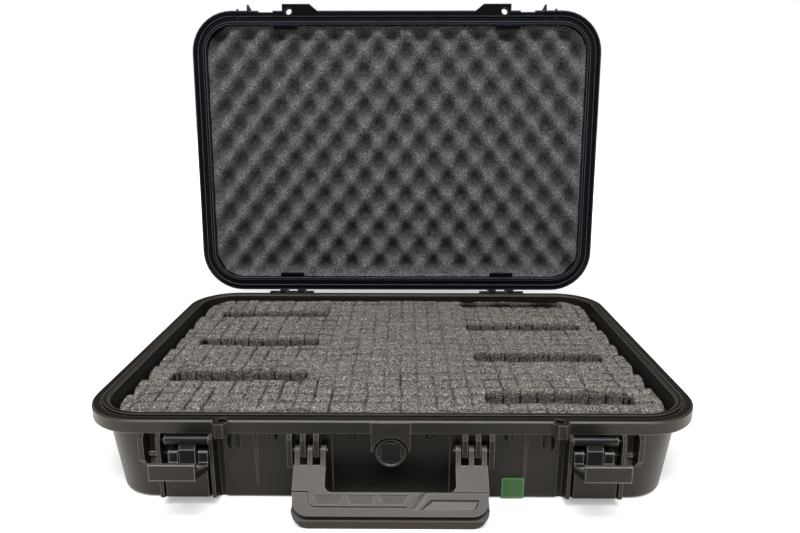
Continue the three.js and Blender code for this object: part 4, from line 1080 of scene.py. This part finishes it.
def sunk_shape(outline, depth, start=-1.0):
    """What sinks a flat outline of (across, down) points into the handle's face."""
    tool = lofted("sunk", [[on_handle(x, s, d) for x, s in outline] for d in (start, depth)])
    outward(tool.data)
    tool.data.transform(HANDLE_TURN)
    return tool


def sunk_hull(points):
    """A sloped hollow: points are (across, down, depth), and the upper rim stands proud."""
    proud = [(x, s, -1.0) for x, s, depth in points if depth == 0]
    tool = hull_tool([on_handle(*point) for point in [*points, *proud]])
    tool.data.transform(HANDLE_TURN)
    return tool


def ribbon(path, half):
    """A closed outline along both sides of a line of points."""
    path = np.array(path, float)
    ahead = np.gradient(path, axis=0)
    ahead /= np.linalg.norm(ahead, axis=1, keepdims=True)
    across = np.stack([-ahead[:, 1], ahead[:, 0]], -1) * half
    return np.concatenate([path + across, (path - across)[::-1]])


def handle_tools():
    """The shapes sunk into the handle's face: lower border, its groove, pads, fold and recess."""
    turn = [math.radians(a) for a in range(0, 91, 15)]
    bend = [(-57.0 - 6.3 * math.cos(a), 35.8 + 6.3 * math.sin(a)) for a in turn]
    border = [(-PAST_HANDLE, 31.0), (-63.3, 31.0), *bend, (12.4, 42.1), (26.5, 29.5), (44, 29.5),
              (44, 31.3), (PAST_HANDLE, 31.3), (PAST_HANDLE, 59), (-PAST_HANDLE, 59)]
    left_line = [(-78, 31.0), (-70, 31.0), (-64.4, 31.0), (-63.5, 31.2), (-63.3, 32.0),
                 (-63.3, 34.0), *bend, (-50, 42.1), (0, 42.1), (12.4, 42.1)]
    right_line = [(47.5, 31.3), (55, 31.3), (65, 31.3), (78, 31.3)]
    fold = [(25.4, 30.0, 0), (12.2, 42.0, 0), (33.5, 30.0, 0), (23.2, 45.2, 0), (12.6, 43.2, 0),
            (29.2, 30.0, 2.0), (18.2, 44.0, 1.5)]
    recess = [(30.4, 35.6, 0), (69.8, 35.8, 0), (66.6, 42.4, 0), (65.2, 43.9, 0), (63.2, 44.5, 0),
              (21.4, 44.9, 0), (33.0, 37.8, 2.4), (66.6, 38.0, 2.4), (64.4, 42.6, 2.1),
              (62.4, 43.7, 1.9), (24.2, 44.2, 1.9)]
    return [
        sunk_shape(border, 0.6),
        sunk_shape(ribbon(left_line, 0.42), 1.7),
        sunk_shape(ribbon(right_line, 0.26), 0.9),
        sunk_hull(fold),
        sunk_hull(recess),
        *(sunk_shape(pad_outline(*corners), PAD_DEPTH) for corners in PADS),
        foot_ring(FACE_FOOT, 4.0),
        foot_ring(GROOVE_FOOT, 4.0, start=1.25),
    ]


def foot_ring(inner, depth, outer=None, start=-1.0):
    """What lies round the foot of the grip, outside one rounded outline or between two."""
    if outer:
        loop = [(-outer[0], 33), *rounded_foot(*outer), (outer[0], 33)]
    else:
        loop = [(-PAST_HANDLE, 33), (-PAST_HANDLE, 62), (PAST_HANDLE, 62), (PAST_HANDLE, 33)]
    core = [(-inner[0], 20), *rounded_foot(*inner), (inner[0], 20)]
    return carve(sunk_shape(loop, depth, start), sunk_shape(core, depth + 1, start - 1))


def rounded_foot(half, low, radius):
    """Two rounded lower corners of an outline, from the left one to the right one."""
    points = []
    for side, angles in ((-1, range(0, 91, 10)), (1, range(90, -1, -10))):
        for a in map(math.radians, angles):
            points.append((side * (half - radius + radius * math.cos(a)),
                           low - radius + radius * math.sin(a)))
    return points


def pad_outline(left, right, low_left, low_right):
    """The outline of one pad, narrower at its rounded lower end."""
    top, low = PAD_ROWS
    return [(left, top), (right, top), (right - 0.4, top + 2.6), (low_right + 0.8, low - 1.4),
            (low_right - 0.8, low), (low_left + 1.6, low), (low_left - 0.6, low - 1.4),
            (left + 0.3, top + 2.6)]


def dotted_tree(material):
    """Rows of small domes, every other row shifted, inside a shape that narrows downward."""
    tree, inputs, out = new_group(
        "dotted_pad", "GeometryNodeTree", ("Geometry",), Left=-0.01, Right=0.01, Low_Left=-0.008,
        Low_Right=0.008, Top=0.0334, Low=0.04, Spacing=0.0014, Dot=0.0005, Columns=18, Rows=5,
    )
    left, right, low_left, low_right, top, low, spacing, dot, columns, rows = inputs
    height = (low - top) - dot * 3.0
    grid = result(tree, "GeometryNodeMeshGrid", Size_X=spacing * (columns - 1.0), Size_Y=height,
                  Vertices_X=columns, Vertices_Y=rows)
    x, y, _ = position(tree)
    row = (y / height * (rows - 1.0) + (rows - 1.0) * 0.5).step("ROUND")
    shifted = x + row.step("MODULO", 2.0) * spacing * 0.5
    spread = moved(tree, grid, shifted + (left + right) * 0.5, y + (top + low) * 0.5, 0.0)
    x, y, _ = position(tree)
    share = (y - top) / (low - top)
    from_left = x - (left + (low_left - left) * share) - dot * 1.6
    from_right = (right + (low_right - right) * share) - dot * 1.6 - x
    outside = from_left.step("MINIMUM", from_right).step("LESS_THAN", 0.0)
    kept = result(tree, "GeometryNodeDeleteGeometry", {"domain": "POINT"}, Geometry=spread,
                  Selection=outside)
    ball = result(tree, "GeometryNodeMeshUVSphere", Segments=8, Rings=5, Radius=dot)
    dome = result(tree, "GeometryNodeTransform", Geometry=ball, Scale=(1.0, 1.0, 0.6))
    dots = result(tree, "GeometryNodeInstanceOnPoints", Points=kept, Instance=dome)
    return ended(tree, dots, material, out)


def build_handle(scene):
    settings = scene.case_handle
    edge = settings.edge_highlight_color
    upper = moulded("handle_plastic", settings.frame_color, 0.45, edge, lift=0.45)
    lower = moulded("grip_plastic", settings.grip_color, 0.6, edge, lift=0.15)
    dressed("handle_frame", upper, tools=handle_tools())
    groove = foot_ring(GROOVE_FOOT, 6.5, GRIP_FOOT, start=2.0)
    dressed("handle_grip", lower, tools=[groove])
    tree = dotted_tree(upper)
    floor = Matrix(((1, 0, 0, 0), (0, 0, -1, on_handle(0, 0, DOT_DEPTH)[1] * MM),
                    (0, -1, 0, HANDLE_AXIS[1] * MM), (0, 0, 0, 1)))
    for number, pad in enumerate(PADS, 1):
        left, right, low_left, low_right, top, low = (value * MM for value in (*pad, *PAD_ROWS))
        piece = grown(
            "grip_dots_%d" % number, tree, Left=left, Right=right, Low_Left=low_left,
            Low_Right=low_right, Top=top, Low=low, Spacing=settings.dot_pitch, Dot=settings.dot,
        )
        piece.data.transform(HANDLE_TURN @ floor)
        outward(piece.data)
        coat_with(piece, upper, 60)
        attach(piece, "handle")


def build_valve(scene):
    shell = scene.case_shell
    finish = moulded("valve_plastic", shell.lid_color, 0.34, shell.latch_edge_highlight, lift=0.3, shine=0.3)
    for node in ("valve_body", "valve_nut", "valve_cap"):
        dressed(node, finish)
    rubber = moulded("seal_rubber", RUBBER, 0.5, RUBBER_HIGHLIGHT, lift=0.2, shine=0.1)
    for node in ("valve_seal", "lid_gasket"):
        dressed(node, rubber)


def label_finish():
    """Green film with a paler border near its edge, and no print."""
    material, tree, shader = new_material("label_film")
    low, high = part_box("info_label")
    centre, half = (low + high) / 2, (high - low) / 2
    where = own_place(tree)
    x, _, z = axes_of(tree, where)
    edge = ((x - centre.x).size() - half.x).step("MAXIMUM", (z - centre.z).size() - half.z)
    border = edge.ramp(-0.0016, -0.0013) * edge.ramp(-0.0004, -0.0007)
    mottle = noise(tree, where, 900.0, Detail=3.0)
    green = blend_colors(tree, border * 0.6, LABEL_GREEN, LABEL_BORDER)
    fill(tree, shader, Base_Color=scaled_color(tree, green, 0.85 + mottle * 0.3),
         Roughness=0.35 + mottle * 0.25,
         Normal=result(tree, "ShaderNodeBump", Distance=0.00002, Height=mottle))
    return material


def build_clip(node, finish):
    """A clip with rounded corners, whose lip lies over the edge of the lid's foam."""
    flat = NODES[node].data.copy()
    flat.transform(LID_TURN.inverted())
    low, high = (Vector(pick(v.co[k] for v in flat.vertices) for k in range(3)) / MM
                 for pick in (min, max))
    bpy.data.meshes.remove(flat)
    root = low.y if abs(low.y) > abs(high.y) else high.y
    inward = -1 if root > 0 else 1
    middle = root + inward * CLIP_REACH / 2
    rings = []
    for z, inset in ((low.z, 0.5), (low.z + 0.5, 0.0), (high.z - 0.5, 0.0), (high.z, 0.5)):
        x, y, _, _ = rounded_outline(CLIP_LENGTH / 2 - inset, CLIP_REACH / 2 - inset,
                                     CLIP_CORNER - inset, 0.8).T
        rings.append(level_ring(x + (low.x + high.x) / 2, y + middle, z))
    piece = lofted(node + "_finished", rings)
    outward(piece.data)
    piece.data.transform(LID_TURN)
    coat_with(piece, finish, 40)
    stand_for(piece, node)


def build_hardware(scene):
    bright = steel("bright_steel", BRIGHT_STEEL, 0.45)
    dark = steel("dark_steel", DARK_STEEL, 0.4)
    for name in SIDES:
        for kind, pins in (("latch_pin_", dark), ("catch_pin_", dark), ("handle_pin_", bright),
                           ("hinge_pin_", bright)):
            dressed(kind + name, pins)
    build_springs(steel("spring_steel", SPRING_STEEL, 0.3))
    clips = moulded("clip_plastic", CLIP_BLACK, 0.25, scene.case_shell.lid_edge_highlight, lift=0.3,
                    shine=0.1)
    for end in ("front", "back"):
        for name in SIDES:
            build_clip("foam_clip_" + end + "_" + name, clips)
    dressed("info_label", label_finish())
    foam = scene.case_base_foam
    material, tree, shader = new_material("pad_foam")
    use_foam(tree, shader, Color=foam.color, Cell_Size=foam.cell, Contrast=0.8, Depth=0.0006,
             Shade=0.5)
    pad = dressed("base_pad", material)


# Stage


def floor_finish(color, start):
    """White floor that glows more and more from a distance on, so that no horizon shows.

    Mirrored or lighting the case, it is duller and warm, brightest beside the case's ends.
    """
    material, tree, shader = new_material(
        "pale_floor", Roughness=0.9, Specular_IOR_Level=0.0, Emission_Strength=1.0)
    where = own_place(tree)
    cloud = noise(tree, where, 3.0)
    far = Field(tree, place(tree, "ShaderNodeVectorMath", {"operation": "LENGTH"},
                            Vector=where).outputs["Value"])
    seen = Field(tree, place(tree, "ShaderNodeLightPath").outputs["Is Camera Ray"])
    x, _, _ = axes_of(tree, where)
    ends = x.size().ramp(0.08, 0.26) * 0.75 + 0.45
    mirrored = scaled_color(tree, (1.0, 0.93, 0.84), 0.04 + far.ramp(start * 2.4, start) * ends)
    plain = scaled_color(tree, color, 0.99 + cloud * 0.02)
    glow = (0.3 + far.ramp(start, start * 3.0)) * seen
    fill(tree, shader, Base_Color=blend_colors(tree, seen, mirrored, plain),
         Emission_Color=scaled_color(tree, (1.0, 1.0, 1.0), glow))
    return material


def add_light(name, place_at, aim, size, power, glossy=True):
    """A soft rectangular lamp; glossy says whether shiny pieces mirror it."""
    data = bpy.data.lights.new(name, "AREA")
    data.shape = "RECTANGLE"
    data.size, data.size_y = size
    data.energy = power
    light = linked(name, data)
    light.location = place_at
    light.visible_glossy = glossy
    light.rotation_euler = (Vector(aim) - Vector(place_at)).to_track_quat("-Z", "Y").to_euler()


def build_stage(scene):
    stage = scene.case_stage
    corners = [(x * FLOOR_REACH, y * FLOOR_REACH, -FLOOR_DROP)
               for x, y in ((-1, -1), (1, -1), (1, 1), (-1, 1))]
    floor = new_piece("floor", corners, [(0, 1, 2, 3)])
    coat_with(floor, floor_finish(stage.floor_color, stage.white_from))
    world = bpy.data.worlds.new("soft_studio")
    world.use_nodes = True
    tree = world.node_tree
    seen = Field(tree, place(tree, "ShaderNodeLightPath").outputs["Is Camera Ray"])
    fill(tree, tree.nodes["Background"], Color=(1, 1, 1), Strength=seen.step("MAXIMUM", stage.sky))
    scene.world = world
    add_light("softbox", (0, -1.4, 1.4), (0, -0.1, 0.1), (2.4, 1.3), stage.key, glossy=False)
    add_light("strip", (0, -0.75, 1.4), (0, -0.17, 0.05), (1.8, 0.4), stage.strip)
    add_light("rear", (0, 2.0, 1.7), (0, 0.2, 0.2), (1.0, 0.7), stage.key)
    data = bpy.data.cameras.new("camera")
    data.sensor_width = 36.0
    data.lens = stage.lens
    camera = linked("camera", data)
    camera.location = stage.camera_place
    camera.rotation_euler = (math.pi / 2 - stage.camera_pitch, 0, stage.camera_yaw)
    scene.camera = camera
    scene.view_settings.view_transform = "Standard"


# Add-on


class CASE_OT_stage(bpy.types.Operator):
    """Set up the floor, the lights and the camera"""
    bl_idname = "hard_case.stage"
    bl_label = "Stage"

    def execute(self, context):
        build_stage(context.scene)
        return {"FINISHED"}


class CASE_OT_base_shell(bpy.types.Operator):
    """Dress the moulded base with its ribs, rim and lugs"""
    bl_idname = "hard_case.base_shell"
    bl_label = "Base shell"

    def execute(self, context):
        build_base_shell(context.scene)
        return {"FINISHED"}


class CASE_OT_base_foam(bpy.types.Operator):
    """Make the scored foam in the base, with its beds and slits"""
    bl_idname = "hard_case.base_foam"
    bl_label = "Base foam"

    def execute(self, context):
        build_base_foam(context.scene)
        return {"FINISHED"}


class CASE_OT_lid_shell(bpy.types.Operator):
    """Dress the moulded lid"""
    bl_idname = "hard_case.lid_shell"
    bl_label = "Lid shell"

    def execute(self, context):
        build_lid_shell(context.scene)
        return {"FINISHED"}


class CASE_OT_lid_foam(bpy.types.Operator):
    """Make the convoluted foam in the lid"""
    bl_idname = "hard_case.lid_foam"
    bl_label = "Lid foam"

    def execute(self, context):
        build_lid_foam(context.scene)
        return {"FINISHED"}


class CASE_OT_latches(bpy.types.Operator):
    """Dress the latch levers and their catches"""
    bl_idname = "hard_case.latches"
    bl_label = "Latches"

    def execute(self, context):
        build_latches(context.scene)
        return {"FINISHED"}


class CASE_OT_handle(bpy.types.Operator):
    """Dress the folding handle"""
    bl_idname = "hard_case.handle"
    bl_label = "Handle"

    def execute(self, context):
        build_handle(context.scene)
        return {"FINISHED"}


class CASE_OT_valve(bpy.types.Operator):
    """Dress the pressure valve and the seals"""
    bl_idname = "hard_case.valve"
    bl_label = "Valve and seals"

    def execute(self, context):
        build_valve(context.scene)
        return {"FINISHED"}


class CASE_OT_hardware(bpy.types.Operator):
    """Make the pins, springs, foam clips, label and the pad under the foam"""
    bl_idname = "hard_case.hardware"
    bl_label = "Small parts"

    def execute(self, context):
        build_hardware(context.scene)
        return {"FINISHED"}


class CASE_PT_panel(bpy.types.Panel):
    """Lists the pieces of the case and their settings"""
    bl_idname = "CASE_PT_panel"
    bl_label = "Hard Case"
    bl_space_type = "VIEW_3D"
    bl_region_type = "UI"
    bl_category = "Hard Case"

    def draw(self, context):
        layout = self.layout
        for operator in OPERATORS:
            layout.operator(operator.bl_idname)
        for label, name, kind in SETTINGS:
            box = layout.box()
            box.label(text=label)
            group = getattr(context.scene, name)
            for key in kind.__annotations__:
                box.prop(group, key)


SETTINGS = (
    ("Shells", "case_shell", ShellSettings),
    ("Base foam", "case_base_foam", BaseFoamSettings),
    ("Lid foam", "case_lid_foam", LidFoamSettings),
    ("Handle", "case_handle", HandleSettings),
    ("Stage", "case_stage", StageSettings),
)
OPERATORS = (
    CASE_OT_stage, CASE_OT_base_shell, CASE_OT_base_foam, CASE_OT_lid_shell, CASE_OT_lid_foam,
    CASE_OT_latches, CASE_OT_handle, CASE_OT_valve, CASE_OT_hardware,
)
CLASSES = (*(kind for _, _, kind in SETTINGS), *OPERATORS, CASE_PT_panel)


def register():
    for item in CLASSES:
        bpy.utils.register_class(item)
    for _, name, kind in SETTINGS:
        setattr(bpy.types.Scene, name, PointerProperty(type=kind))


def unregister():
    for _, name, _ in SETTINGS:
        delattr(bpy.types.Scene, name)
    for item in reversed(CLASSES):
        bpy.utils.unregister_class(item)


def main():
    register()
    bpy.ops.hard_case.stage()
    bpy.ops.hard_case.base_shell()
    bpy.ops.hard_case.base_foam()
    bpy.ops.hard_case.lid_shell()
    bpy.ops.hard_case.lid_foam()
    bpy.ops.hard_case.latches()
    bpy.ops.hard_case.handle()
    bpy.ops.hard_case.valve()
    bpy.ops.hard_case.hardware()


if __name__ == "__main__":
    main()
